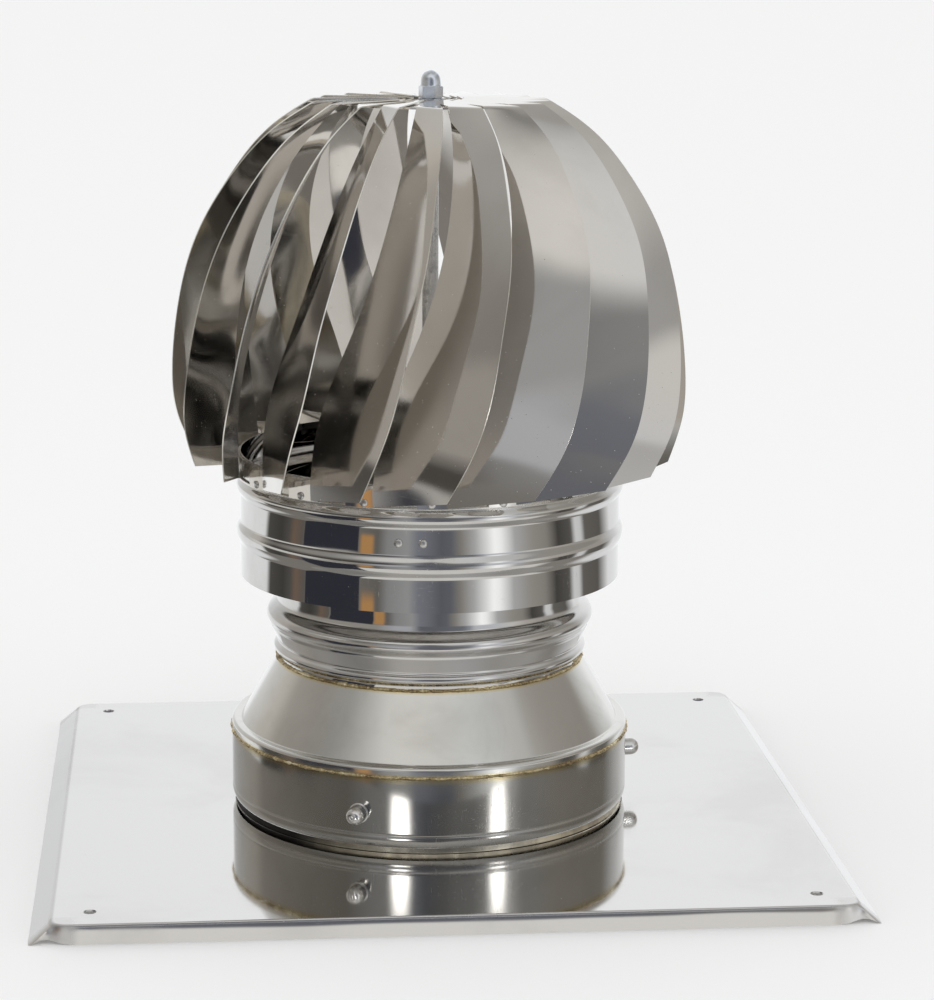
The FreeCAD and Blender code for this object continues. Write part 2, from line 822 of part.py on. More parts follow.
def lower_ring():
    """Angle ring: a leg around the skirt and a ledge for the blades' feet."""
    body = turned("ring_body", [
        (ring_inner, ring_height),
        (ring_radius, ring_height),
        (ring_radius, ring_top),
        (leg_radius, ring_top),
        (leg_radius, ring_height + size["ring_leg"]),
        (ring_inner, ring_height + size["ring_leg"]),
    ])
    hole = size["foot_rivet_shank"] + size["nest_gap"] / 2.0
    past = size["overrun"]
    drill = upright_at_foot(
        "ring_foot_drill", hole, size["ring_wall"] + past * 2.0, ring_height - past
    )
    doc.recompute()
    drills = group("ring_drills", around("ring_hole", drill, copies_around("blade")))
    node("lower_ring", cut("ring_drilled", body, drills))


def foot_rivets():
    """One rivet through each blade's foot and the ring."""
    rise = size["foot_rivet_rise"]
    wide = size["foot_rivet_head"]
    head_low = foot_top + size["flange_foot_gap"]
    tail_low = ring_height - rise - size["flange_foot_gap"]
    length = head_low - tail_low
    shaft = upright_at_foot("foot_rivet_shaft", size["foot_rivet_shank"], length, tail_low)
    head = upright_at_foot("foot_rivet_top", wide, rise, head_low)
    tail = upright_at_foot("foot_rivet_tail", wide, rise, tail_low)
    rivet = joined("foot_rivet_whole", shaft, head, tail)
    doc.recompute()
    rivets = around("foot_rivet", rivet, copies_around("blade"))
    node("foot_rivets", group("foot_rivet_set", rivets))


def top_disc():
    bore = stub_radius + size["disc_bore_gap"]
    node("top_disc", ring("disc_ring", disc_radius, bore, size["disc_wall"], disc_bottom))


def edge_curve(side):
    curve = Part.BSplineCurve()
    points = []
    for name, *_ in BLADE_LEVELS:
        height = hem_height + size[f"{name}_level"]
        radius = skirt_radius + size[f"{name}_{side}_reach"]
        points.append(polar(radius, size[f"{name}_{side}_turn"], height))
    curve.interpolate(points)
    return curve


def sheet_normal(chord, along):
    """Unit normal of a strip, on the side towards the flue's axis."""
    normal = chord.cross(along)
    normal.normalize()
    return normal


def strip_section(outer, inner, normals, wall):
    """Closed four-corner wire across the sheet, mitred where it has two normals."""
    total = sum(normals, Vector(0, 0, 0))
    shift = total * (wall * len(normals) / total.dot(total))
    corners = [outer, inner, inner + shift, outer + shift]
    return Part.makePolygon(corners + [outer])


def blade_shape():
    """Petal, curved strip, lower flange and foot of one blade, folded from one sheet."""
    wall = size["blade_wall"].value
    outer_edge = edge_curve("outer")
    inner_edge = edge_curve("inner")
    stations = 13
    rows = []
    for step in range(stations):
        share = step / (stations - 1)
        pair = []
        for curve in (outer_edge, inner_edge):
            low, high = curve.FirstParameter, curve.LastParameter
            at = low + (high - low) * share
            pair.append((curve.value(at), curve.tangent(at)[0]))
        (outer, outer_way), (inner, inner_way) = pair
        normal = sheet_normal(inner - outer, outer_way + inner_way)
        rows.append((outer, inner, normal))
    crown_outer, crown_inner, crown_normal = rows[-1]
    hem_outer, hem_inner, hem_normal = rows[0]
    up = Vector(0, 0, 1)
    down = Vector(0, 0, -1)
    petal_outer = polar(size["petal_end_radius"], size["crown_outer_turn"], crown_height)
    petal_inner = polar(size["petal_end_radius"], size["crown_inner_turn"], crown_height)
    hem_turn = size["hem_outer_turn"]
    foot_turn = size["flange_inner_turn"]
    flange_outer = polar(flange_radius, hem_turn, foot_bottom)
    flange_inner = polar(flange_inner_radius, foot_turn, foot_bottom)
    foot_outer = polar(foot_end_radius, hem_turn, foot_bottom)
    foot_inner = polar(foot_end_radius, foot_turn, foot_bottom)
    flange_way = (hem_outer + hem_inner) - (flange_outer + flange_inner)
    flange_normal = sheet_normal(hem_inner - hem_outer, flange_way)
    hem = strip_section(hem_outer, hem_inner, [hem_normal, flange_normal], wall)
    crown = strip_section(crown_outer, crown_inner, [crown_normal, down], wall)
    flange = strip_section(flange_outer, flange_inner, [flange_normal, up], wall)
    foot = strip_section(foot_outer, foot_inner, [up], wall)
    petal = strip_section(petal_outer, petal_inner, [down], wall)
    middle = [strip_section(*row[:2], [row[2]], wall) for row in rows[1:-1]]
    whole = sewn(
        [
            Part.makeLoft([petal, crown], True, True),
            Part.makeLoft([crown] + middle[::-1] + [hem], True, False),
            Part.makeLoft([hem, flange], True, True),
            Part.makeLoft([flange, foot], True, True),
        ],
        [crown, hem, flange],
    )
    hole = (size["foot_rivet_shank"] + size["nest_gap"] / 2.0).value
    depth = (foot_top - foot_bottom + size["overrun"]).value
    under = polar(foot_rivet_radius, size["foot_rivet_turn"], foot_bottom - size["overrun"] / 2.0)
    return whole.cut(Part.makeCylinder(hole, depth, under))


def sewn(lofts, folds):
    """One solid from lofts that meet at fold sections, without the faces at the folds."""
    same_place = 0.01
    tolerance = 1e-5
    inside = [Part.Face(fold).CenterOfMass for fold in folds]
    faces = [
        face for loft in lofts for face in loft.Faces
        if all(face.CenterOfMass.distanceToPoint(spot) > same_place for spot in inside)
    ]
    shell = Part.Shell(faces)
    shell.sewShape()
    solid = Part.Solid(shell)
    solid.fix(tolerance, tolerance, tolerance)
    return solid


def blades():
    shape = blade_shape()
    print("blade volume", round(shape.Volume, 1), "solids", len(shape.Solids), shape.isValid())
    for index, turn in enumerate(copies_around("blade")):
        blade = doc.addObject("Part::Feature", f"blade_{index + 1:02d}")
        blade.Shape = shape
        blade.Placement = Placement(ORIGIN, Rotation(Z_AXIS, turn))
        node(f"blade_{index + 1:02d}", blade)


def check_document():
    doc.recompute()
    for item in doc.Objects:
        if "Invalid" in item.State or "Error" in item.State:
            raise RuntimeError(f"{item.Label} failed: {item.State}")
    for label, item in finished.items():
        if item.Shape.isNull() or not item.Shape.isValid():
            raise RuntimeError(f"{label} has no valid shape")


def write_parts():
    os.makedirs("parts", exist_ok=True)
    for label, item in finished.items():
        item.Shape.exportStep(f"parts/{label}.step")
        print(label, len(item.Shape.Solids), round(item.Shape.Volume / 1000.0, 2), "cm3")


base_plate()
spigot_and_collar()
collar_screws()
reducer_cone()
neck_pipe()
brackets()
bearing_housing()
bearing("lower_bearing", lower_bearing)
bearing("upper_bearing", upper_bearing)
spindle()
rotor_skirt()
lower_ring()
foot_rivets()
top_disc()
blades()
check_document()
write_parts()
print(len(finished), "sub-parts")
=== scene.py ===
import math

import bmesh
import bpy
import numpy as np
from mathutils import Matrix, Vector, noise


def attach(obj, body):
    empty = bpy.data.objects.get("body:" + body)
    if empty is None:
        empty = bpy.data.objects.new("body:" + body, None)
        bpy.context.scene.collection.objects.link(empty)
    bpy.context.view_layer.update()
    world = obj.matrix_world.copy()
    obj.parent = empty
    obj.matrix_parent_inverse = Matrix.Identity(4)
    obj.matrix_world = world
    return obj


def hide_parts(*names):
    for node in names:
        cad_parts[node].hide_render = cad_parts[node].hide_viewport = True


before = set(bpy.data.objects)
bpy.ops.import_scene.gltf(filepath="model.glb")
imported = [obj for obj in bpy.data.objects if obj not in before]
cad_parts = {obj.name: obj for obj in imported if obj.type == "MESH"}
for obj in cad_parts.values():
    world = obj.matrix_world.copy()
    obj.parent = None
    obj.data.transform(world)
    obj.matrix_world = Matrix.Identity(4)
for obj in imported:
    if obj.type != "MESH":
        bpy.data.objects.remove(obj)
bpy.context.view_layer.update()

mm = 0.001
front = -4.5  # degrees from -Y towards +X, the way the photographed front faces
scene = bpy.context.scene


# Shader and geometry trees, written as arithmetic

class Wire:  # an output socket that takes part in sums
    def __init__(self, paint, socket):
        self.paint = paint
        self.socket = socket

    def __add__(self, other):
        return self.paint.maths("ADD", self, other)

    def __sub__(self, other):
        return self.paint.maths("SUBTRACT", self, other)

    def __mul__(self, other):
        return self.paint.maths("MULTIPLY", self, other)

    def __truediv__(self, other):
        return self.paint.maths("DIVIDE", self, other)

    def __pow__(self, other):
        return self.paint.maths("POWER", self, other)

    def __rsub__(self, other):
        return self.paint.maths("SUBTRACT", other, self)

    __radd__ = __add__
    __rmul__ = __mul__


class Paint:  # a node tree in the making
    def __init__(self, tree):
        self.tree = tree

    def put(self, kind, sockets=None, out=0, stops=None, **settings):
        node = self.tree.nodes.new(kind)
        for name, value in settings.items():
            setattr(node, name, value)
        if stops:
            ramp = node.color_ramp.elements
            while len(ramp) < len(stops):
                ramp.new(0.5)
            for element, (position, colour) in zip(ramp, stops):
                element.position = position
                element.color = (*colour, 1.0)
        for key, value in (sockets or {}).items():
            if isinstance(value, Wire):
                self.tree.links.new(value.socket, node.inputs[key])
            else:
                node.inputs[key].default_value = value
        return Wire(self, node.outputs[out]) if len(node.outputs) else None

    def maths(self, operation, *values):
        return self.put("ShaderNodeMath", dict(enumerate(values)), operation=operation)

    def clamp(self, value):
        return self.put("ShaderNodeClamp", {0: value})

    def ease(self, value, low, high):  # 0 below low, 1 above high, smooth between
        return self.put("ShaderNodeMapRange", {0: value, 1: low, 2: high},
                        interpolation_type="SMOOTHSTEP")

    def band(self, value, low, high, soft):
        rise = self.ease(value, low - soft, low + soft)
        return rise * (1 - self.ease(value, high - soft, high + soft))

    def mix(self, share, first, second):
        first, second = (c if isinstance(c, Wire) else (*c, 1.0) for c in (first, second))
        return self.put("ShaderNodeMix", {0: share, 6: first, 7: second}, 2, data_type="RGBA")

    def split(self, vector):
        node = self.put("ShaderNodeSeparateXYZ", {0: vector}).socket.node
        return [Wire(self, socket) for socket in node.outputs]

    def stretch(self, vector, scale):
        return self.put("ShaderNodeMapping", {"Vector": vector, "Scale": scale})

    def cloud(self, vector, scale, detail=3.0, rough=0.5, twist=0.0):
        return self.put("ShaderNodeTexNoise", {
            "Vector": vector, "Scale": scale, "Detail": detail,
            "Roughness": rough, "Distortion": twist,
        })

    def specks(self, vector, scale, share, size, core=0.4, soft=0.02):
        # Round spots in a share of the cells, full within their core
        cell = {"Vector": vector, "Scale": scale}
        distance = self.put("ShaderNodeTexVoronoi", cell)
        colour = self.put("ShaderNodeTexVoronoi", cell, 1)
        chosen = self.ease(self.split(colour)[0], 1 - share, 1 + soft - share)
        return chosen * (1 - self.ease(distance, size * core, size))


def newMaterial(name):
    material = bpy.data.materials.new(name)
    material.use_nodes = True
    material.node_tree.nodes.clear()
    return material, Paint(material.node_tree)


def finishMaterial(paint, sockets):
    shader = paint.put("ShaderNodeBsdfPrincipled", sockets)
    paint.put("ShaderNodeOutputMaterial", {"Surface": shader})


# Finishes

sheetLook = {
    "colour": (0.63, 0.62, 0.605),
    "dull": (0.57, 0.56, 0.54),  # colour of the smudges
    "roughness": 0.045,
    "cloudScale": 22.0,
    "cloudRoughness": 0.05,
    "smudged": (0.45, 0.72),  # where in the cloud a smudge begins and is full
    "grainStretch": (30.0, 30.0, 2600.0),  # rolling lines, short across and long along
    "grainHeight": 0.0000006,
    "scuffStretch": (160.0, 160.0, 900.0),
    "scuffed": (0.62, 0.8),
    "scuffRoughness": 0.05,
    "waveScale": 26.0,
    "waveHeight": 0.00006,
    "speckScale": 330.0,
    "speckShare": 0.05,
    "speckSize": 0.11,
    "speckRoughness": 0.5,
    "speckLow": 0.0,  # further share of specks towards the foot
    "speckHeights": (0.20, 0.29),  # metres, between which the further specks thin out
    "heat": (),  # rings of heat tint: height in mm, reach in mm, strength
    "heatRoughness": 0.22,
    "rolled": (),  # duller rings: lower end, upper end and softness in mm, added roughness
    "corners": (),  # duller corners: distance from both axes and softness in mm, added roughness
    "scratches": 0.0,  # roughness added along them
    # for each direction of the scratches a stretch of the pattern and how much it wanders
    "scratchStretches": (((1500.0, 1500.0, 110.0), 0.6), ((260.0, 260.0, 1900.0), 1.2)),
    "scratched": (0.66, 0.72),
    "wornScale": 30.0,
    "worn": (0.45, 0.62),  # the patches that have scratches
    "deepGlow": 0.0,  # stands in for the light of further mirrorings
    "deepGlowDepth": (0.9, 3.1),
    "deepBlur": 0.0,  # roughness added in mirrorings of mirrorings
    "deepBlurDepth": (0.9, 2.1),
}

heatLook = {
    "patchScale": 90.0, "least": 0.55,  # the tint's strength where the patches are weakest
    "colours": (
        (0.0, (1.0, 1.0, 1.0)), (0.35, (0.98, 0.88, 0.62)), (0.62, (0.62, 0.44, 0.22)),
        (0.85, (0.30, 0.19, 0.12)), (1.0, (0.20, 0.15, 0.15)),
    ),
}


def heatTint(paint, place, level, reach, strength):
    # How strongly the sheet is tinted near a level in mm, and the tint
    away = paint.maths("ABSOLUTE", paint.split(place)[2] - level * mm) / (reach * mm)
    patchy = paint.cloud(place, heatLook["patchScale"], 4.0, 0.6)
    heat = paint.clamp((1 - away) * (heatLook["least"] + patchy) * strength)
    return heat, paint.put("ShaderNodeValToRGB", {0: heat}, stops=heatLook["colours"])


def scratchLines(paint, place, look):
    # Fine lines in two directions, in the worn patches only
    lines = 0.0
    for stretch, twist in look["scratchStretches"]:
        line = paint.cloud(paint.stretch(place, stretch), 1.0, 2.0, 0.5, twist)
        lines = lines + paint.ease(line, *look["scratched"])
    return lines * paint.ease(paint.cloud(place, look["wornScale"], 2.0), *look["worn"])


def polishedSheet(name, **changes):
    look = {**sheetLook, **changes}
    material, paint = newMaterial(name)
    place = paint.put("ShaderNodeTexCoord", out=3)
    x, y, height = paint.split(place)
    smudge = paint.ease(paint.cloud(place, look["cloudScale"], 5.0, 0.6, 0.4), *look["smudged"])
    grain = paint.cloud(paint.stretch(place, look["grainStretch"]), 1.0, 2.0)
    scuff = paint.cloud(paint.stretch(place, look["scuffStretch"]), 1.0, 2.0)
    scuff = paint.ease(scuff, *look["scuffed"])
    share = look["speckShare"]
    if look["speckLow"]:
        share = share + (1 - paint.ease(height, *look["speckHeights"])) * look["speckLow"]
    spots = paint.specks(place, look["speckScale"], share, look["speckSize"])
    colour = paint.mix(smudge, look["colour"], look["dull"])
    roughness = look["roughness"] + smudge * look["cloudRoughness"]
    roughness = roughness + scuff * look["scuffRoughness"] + spots * look["speckRoughness"]
    for ring in look["heat"]:
        heat, tint = heatTint(paint, place, *ring)
        colour = paint.put("ShaderNodeMix", {0: 1.0, 6: colour, 7: tint}, 2,
                           data_type="RGBA", blend_type="MULTIPLY")
        roughness = roughness + heat * look["heatRoughness"]
    for low, high, soft, added in look["rolled"]:
        roughness = roughness + paint.band(height, low * mm, high * mm, soft * mm) * added
    for reach, soft, added in look["corners"]:
        nearest = paint.maths("MINIMUM", paint.maths("ABSOLUTE", x), paint.maths("ABSOLUTE", y))
        corner = paint.ease(nearest, (reach - soft) * mm, (reach + soft) * mm)
        roughness = roughness + corner * added
    if look["scratches"]:
        roughness = roughness + scratchLines(paint, place, look) * look["scratches"]
    wave = paint.cloud(place, look["waveScale"], 1.0, 0.4)
    bent = paint.put("ShaderNodeBump", {"Distance": look["waveHeight"], "Height": wave})
    lined = paint.put("ShaderNodeBump", {
        "Distance": look["grainHeight"], "Height": grain + scuff, "Normal": bent,
    })
    sockets = {"Base Color": colour, "Metallic": 1.0, "Normal": lined}
    if look["deepGlow"]:
        depth = paint.put("ShaderNodeLightPath", out="Glossy Depth")
        roughness = roughness + paint.ease(depth, *look["deepBlurDepth"]) * look["deepBlur"]
        glow = paint.ease(depth, *look["deepGlowDepth"]) * look["deepGlow"]
        sockets["Emission Color"] = paint.mix(glow, (0, 0, 0), look["dull"])
        sockets["Emission Strength"] = 1.0
    sockets["Roughness"] = paint.clamp(roughness)
    finishMaterial(paint, sockets)
    return material


steelLook = {
    "stretch": (1.0, 1.0, 12.0), "lineRoughness": 0.2, "cloudScale": 160.0, "patched": (0.48, 0.7),
    "patchRoughness": 0.08, "pitScale": 700.0, "pitShare": 0.2, "pitSize": 0.2, "pitDepth": 0.6,
    "relief": 0.00002,
}


def workedSteel(name, colour, roughness, lineScale, patchColour, **changes):
    look = {**steelLook, **changes}
    material, paint = newMaterial(name)
    place = paint.put("ShaderNodeTexCoord", out=3)
    lines = paint.cloud(paint.stretch(place, look["stretch"]), lineScale, 3.0, 0.6)
    patch = paint.ease(paint.cloud(place, look["cloudScale"], 4.0, 0.6), *look["patched"])
    pits = paint.specks(place, look["pitScale"], look["pitShare"], look["pitSize"])
    roughness = roughness + (lines - 0.5) * look["lineRoughness"] + patch * look["patchRoughness"]
    bump = {"Distance": look["relief"], "Height": lines - pits * look["pitDepth"]}
    finishMaterial(paint, {
        "Base Color": paint.mix(patch, colour, patchColour), "Metallic": 1.0,
        "Roughness": paint.clamp(roughness), "Normal": paint.put("ShaderNodeBump", bump),
    })
    return material


weldLook = {
    "patchScale": 60.0, "patchShare": 0.55, "fineScale": 900.0, "relief": 0.00016,
    "roughness": 0.42, "patchShine": 0.25, "fineRoughness": 0.1,
    "colours": (
        (0.36, (0.11, 0.08, 0.05)), (0.45, (0.32, 0.24, 0.13)),
        (0.53, (0.62, 0.51, 0.29)), (0.64, (0.94, 0.86, 0.64)),
    ),
}


def weldMetal(name):
    material, paint = newMaterial(name)
    place = paint.put("ShaderNodeTexCoord", out=3)
    patch = paint.cloud(place, weldLook["patchScale"], 3.0, 0.6)
    fine = paint.cloud(place, weldLook["fineScale"], 3.0, 0.7)
    shade = patch * weldLook["patchShare"] + fine * (1 - weldLook["patchShare"])
    roughness = weldLook["roughness"] - patch * weldLook["patchShine"]
    finishMaterial(paint, {
        "Base Color": paint.put("ShaderNodeValToRGB", {0: shade}, stops=weldLook["colours"]),
        "Metallic": 1.0,
        "Roughness": paint.clamp(roughness + fine * weldLook["fineRoughness"]),
        "Normal": paint.put("ShaderNodeBump", {"Distance": weldLook["relief"], "Height": fine}),
    })
    return material


scorchAndShadeLook = {
    # shadow and dark: the painted shadow's stretch of turns and its colour; straw is the heat tint
    "shadow": (-125.0, -30.0, 14.0),  # the dark stretch: first turn, last turn, softness in degrees
    "dark": (0.035, 0.032, 0.03), "straw": (0.66, 0.60, 0.48), "patchShade": 0.62,
    "patchScale": 70.0, "patched": (0.35, 0.65), "fineStretch": (60.0, 60.0, 1500.0),
    "roughness": 0.22, "shadowRoughness": 0.3, "patchRoughness": 0.1, "relief": 0.00002,
}


def scorchedAndShadedSheet(name):
    # Sheet tinted straw gold by heat, and darkened on one stretch of turns by a painted shadow
    look = scorchAndShadeLook
    material, paint = newMaterial(name)
    place = paint.put("ShaderNodeTexCoord", out=3)
    x, y, _ = paint.split(place)
    turn = paint.maths("DEGREES", paint.maths("ARCTAN2", x, y * -1)) - front
    # painted shadow: the stretch of turns where the sheet's colour is darkened
    shadow = paint.band(turn, *look["shadow"])
    patch = paint.ease(paint.cloud(place, look["patchScale"], 4.0, 0.6), *look["patched"])
    fine = paint.cloud(paint.stretch(place, look["fineStretch"]), 1.0, 3.0)
    colour = paint.mix(patch, look["straw"], [part * look["patchShade"] for part in look["straw"]])
    roughness = look["roughness"] + shadow * look["shadowRoughness"]
    finishMaterial(paint, {
        "Base Color": paint.mix(shadow, colour, look["dark"]), "Metallic": 1.0,
        "Roughness": paint.clamp(roughness + patch * look["patchRoughness"]),
        "Normal": paint.put("ShaderNodeBump", {"Distance": look["relief"], "Height": fine}),
    })
    return material


# Meshes

def rounded(corners, steps=5):  # corners are (x, z) or (x, z, radius); arcs where a radius is given
    points = []
    for index, corner in enumerate(corners):
        here = np.array(corner[:2], float)
        if len(corner) < 3:
            points.append(here)
            continue
        before = np.array(corners[index - 1][:2], float) - here
        after = np.array(corners[(index + 1) % len(corners)][:2], float) - here
        before /= np.linalg.norm(before)
        after /= np.linalg.norm(after)
        half = math.acos(np.clip(before @ after, -1, 1)) / 2
        middle = (before + after) / np.linalg.norm(before + after)
        centre = here + middle * corner[2] / math.sin(half)
        start = here + before * corner[2] / math.tan(half) - centre
        end = here + after * corner[2] / math.tan(half) - centre
        sweep = math.atan2(start[0] * end[1] - start[1] * end[0], start @ end)
        for step in range(steps + 1):
            turn = sweep * step / steps
            points.append(centre + np.array([
                start[0] * math.cos(turn) - start[1] * math.sin(turn),
                start[0] * math.sin(turn) + start[1] * math.cos(turn),
            ]))
    return points


beadFullness = 1.25  # above 1 the beads are fuller than a cosine


def bead(radius, foot, height, rise, steps=22):  # soft-sided swelling pressed into a tube
    points = []
    for step in range(steps + 1):
        across = step / steps * 2 - 1
        swell = 0.5 + 0.5 * math.cos(math.pi * abs(across) ** beadFullness)
        points.append(np.array([radius + rise * swell, foot + height * step / steps]))
    return points


def smoothThrough(points, samples):  # natural cubic spline, spaced by chord length
    points = np.array(points, float)
    knots = np.concatenate([[0], np.cumsum(np.linalg.norm(np.diff(points, axis=0), axis=1))])
    gaps = np.diff(knots)
    count = len(points)
    matrix = np.eye(count)
    right = np.zeros_like(points)
    slopes = np.diff(points, axis=0) / gaps[:, None]
    for i in range(1, count - 1):
        matrix[i, i - 1:i + 2] = gaps[i - 1], 2 * (gaps[i - 1] + gaps[i]), gaps[i]
        right[i] = 6 * (slopes[i] - slopes[i - 1])
    bend = np.linalg.solve(matrix, right)
    result = []
    for at in np.linspace(0, knots[-1], samples):
        i = min(int(np.searchsorted(knots, at, side="right")) - 1, count - 2)
        a, b, gap = knots[i + 1] - at, at - knots[i], gaps[i]
        curved = (bend[i] * a ** 3 + bend[i + 1] * b ** 3) / (6 * gap)
        start = points[i] / gap - bend[i] * gap / 6
        end = points[i + 1] / gap - bend[i + 1] * gap / 6
        result.append(curved + start * a + end * b)
    return np.array(result)


def meshPiece(name, vertices, faces, sharpness=38.0):
    mesh = bpy.data.meshes.new(name)
    mesh.from_pydata([tuple(v) for v in vertices], [], faces)
    shell = bmesh.new()
    shell.from_mesh(mesh)
    bmesh.ops.remove_doubles(shell, verts=shell.verts, dist=1e-7)
    bmesh.ops.recalc_face_normals(shell, faces=shell.faces)
    shell.to_mesh(mesh)
    shell.free()
    mesh.shade_smooth()
    mesh.set_sharp_from_angle(angle=math.radians(sharpness))
    piece = bpy.data.objects.new(name, mesh)
    scene.collection.objects.link(piece)
    return piece


def spun(name, outline, segments=320, uneven=None):
    # A closed outline of (radius, height) in mm turned about the flue's axis
    outline = np.array(outline, float)
    count = len(outline)
    vertices = []
    for step in range(segments):
        turn = 2 * math.pi * step / segments
        for radius, height in outline:
            if uneven:
                radius, height = uneven(radius, height, turn)
            vertices.append((radius * math.sin(turn) * mm, -radius * math.cos(turn) * mm,
                             height * mm))
    faces = []
    for step in range(segments):
        here, there = step * count, (step + 1) % segments * count
        for index in range(count):
            after = (index + 1) % count
            faces.append((here + index, here + after, there + after, there + index))
    return meshPiece(name, vertices, faces)


def addShown(piece, body, slot, material, *nodes):
    if material:
        piece.data.materials.clear()
        piece.data.materials.append(material)
    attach(piece, body)
    if nodes:
        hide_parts(*nodes)
    return piece


def polar(radius, turn, height):  # mm and degrees from the photographed front
    angle = math.radians(turn + front)
    return np.array([radius * math.sin(angle), -radius * math.cos(angle), height])


def walled(outer, wall):
    # A sheet's closed outline from the outer side's points, bottom to top
    outer = [np.array(p, float) for p in outer]
    inner = []
    for index, point in enumerate(outer):
        before = outer[max(index - 1, 0)]
        after = outer[min(index + 1, len(outer) - 1)]
        way = (after - before) / np.linalg.norm(after - before)
        inner.append(point + np.array([-way[1], way[0]]) * wall)
    return outer + inner[::-1]


def latheAlongFront(name, outline, height, segments=40):
    # An outline of (radius, distance from the axis) turned about a level line towards the front
    vertices = []
    for step in range(segments):
        turn = 2 * math.pi * step / segments
        for radius, out in outline:
            vertices.append((radius * math.cos(turn) * mm, -out * mm,
                             (height + radius * math.sin(turn)) * mm))
    count = len(outline)
    faces = []
    for step in range(segments):
        here, there = step * count, (step + 1) % segments * count
        for index in range(count - 1):
            faces.append((here + index, here + index + 1, there + index + 1, there + index))
    return meshPiece(name, vertices, faces)


def rivetOutline(wall, shank, dome):
    # For latheAlongFront: the shank's points stand off from the wall, then comes the round head
    radius, seat, rise, firstTurn, points = dome
    outline = [(across, wall + out) for across, out in shank]
    outline += [(radius * math.cos(t), wall + seat + rise * math.sin(t))
                for t in np.linspace(firstTurn, math.pi / 2, points)]
    outline[-1] = (0, outline[-1][1])
    return outline


# Copies around the axis, as a geometry tree

tiltShare = 0.3  # a copy tilts by this share of its uneven turn


def ringTree():
    tree = bpy.data.node_groups.new("copiesAround", "GeometryNodeTree")
    sockets = (("piece", "Object"), ("count", "Int"), ("firstTurn", "Float"),
               ("step", "Float"), ("unevenness", "Float"), ("seed", "Int"),
               ("finish", "Material"), ("edgeFinish", "Material"))
    for name, kind in sockets:
        tree.interface.new_socket(name, in_out="INPUT", socket_type=f"NodeSocket{kind}")
    tree.interface.new_socket("Geometry", in_out="OUTPUT", socket_type="NodeSocketGeometry")
    paint = Paint(tree)
    given = tree.nodes.new("NodeGroupInput")
    value = {name: Wire(paint, given.outputs[name]) for name, _ in sockets}
    points = paint.put("GeometryNodePoints", {"Count": value["count"]})
    index = paint.put("GeometryNodeInputIndex")

    def unevenness(offset):  # a seeded turn for each copy, either way
        draw = paint.put("FunctionNodeRandomValue", {
            "Min": -1.0, "Max": 1.0, "Seed": value["seed"] + offset,
        }, 1, data_type="FLOAT")
        return draw * value["unevenness"]

    turn = value["firstTurn"] + index * value["step"] + unevenness(0)
    turned = paint.put("ShaderNodeCombineXYZ", {
        "X": unevenness(1) * tiltShare, "Y": unevenness(2) * tiltShare, "Z": turn,
    })
    piece = paint.put("GeometryNodeObjectInfo", {"Object": value["piece"]}, 4)
    copies = paint.put("GeometryNodeInstanceOnPoints", {
        "Points": points, "Instance": piece, "Rotation": turned,
    })
    whole = paint.put("GeometryNodeRealizeInstances", {"Geometry": copies})
    main = paint.put("GeometryNodeSetMaterial", {"Geometry": whole, "Material": value["finish"]})
    edges = paint.put("GeometryNodeInputNamedAttribute", {"Name": "cutEdge"}, data_type="BOOLEAN")
    dressed = paint.put("GeometryNodeSetMaterial", {
        "Geometry": main, "Selection": edges, "Material": value["edgeFinish"],
    })
    paint.put("NodeGroupOutput", {"Geometry": dressed})
    return tree


copiesAround = ringTree()


def ringPiece(name, **values):
    # Turns are in radians; the inputs take their values by identifier, before the first evaluation
    carrier = bpy.data.objects.new(name, bpy.data.meshes.new(name))
    scene.collection.objects.link(carrier)
    modifier = carrier.modifiers.new("copies", "NODES")
    modifier.node_group = copiesAround
    for item in copiesAround.interface.items_tree:
        if item.in_out == "INPUT" and item.name in values:
            modifier[item.identifier] = values[item.name]
    graph = bpy.context.evaluated_depsgraph_get()
    plain = bpy.data.meshes.new_from_object(carrier.evaluated_get(graph))
    carrier.modifiers.remove(modifier)
    carrier.data = plain
    bpy.data.objects.remove(values["piece"])
    return carrier


# Heights shared with the frame, in mm

plateTop = 9.7
collarFoot = 13.3
collarTop = 48.7
ledgeHeight = 53.3
coneTop = 85.4
neckTop = 173.4
skirtFoot = 128.7
skirtTop = 190.7
ringHeight = 179.0
hemHeight = 188.05


# Materials of this cowl

plateMetal = polishedSheet(
    "plateMetal", colour=(0.705, 0.695, 0.683), dull=(0.65, 0.64, 0.625), roughness=0.06,
    cloudScale=9.0, cloudRoughness=0.08, grainStretch=(1800.0, 20.0, 20.0),
    waveScale=7.0, waveHeight=0.00025, speckShare=0.03,
    rolled=((8.3, 9.5, 0.2, 0.2),), corners=((174.0, 3.0, 0.22),),
)
collarMetal = polishedSheet(
    "collarMetal", heat=((47.2, 2.6, 0.42),), roughness=0.095,
    colour=(0.44, 0.43, 0.405), dull=(0.39, 0.38, 0.355), cloudRoughness=0.05, waveHeight=0.00005,
    speckShare=0.12, scratches=0.35,
)
coneMetal = polishedSheet(
    "coneMetal", heat=((49.0, 1.2, 0.4), (85.6, 2.2, 0.8)), roughness=0.12,
    colour=(0.69, 0.68, 0.65), dull=(0.62, 0.61, 0.575),
    cloudRoughness=0.09, waveHeight=0.00009,
)
neckMetal = polishedSheet(
    "neckMetal", heat=((85.2, 1.4, 0.6),), waveHeight=0.00005, roughness=0.03,
    rolled=((88.0, 93.0, 1.5, 0.06), (100.0, 117.0, 1.5, 0.09)), scratches=0.15,
)
skirtMetal = polishedSheet(
    "skirtMetal", waveHeight=0.00005, speckShare=0.07, roughness=0.025, cloudRoughness=0.03,
    rolled=((145.0, 157.0, 1.5, 0.05), (169.5, 179.0, 1.5, 0.05)), scratches=0.2,
)
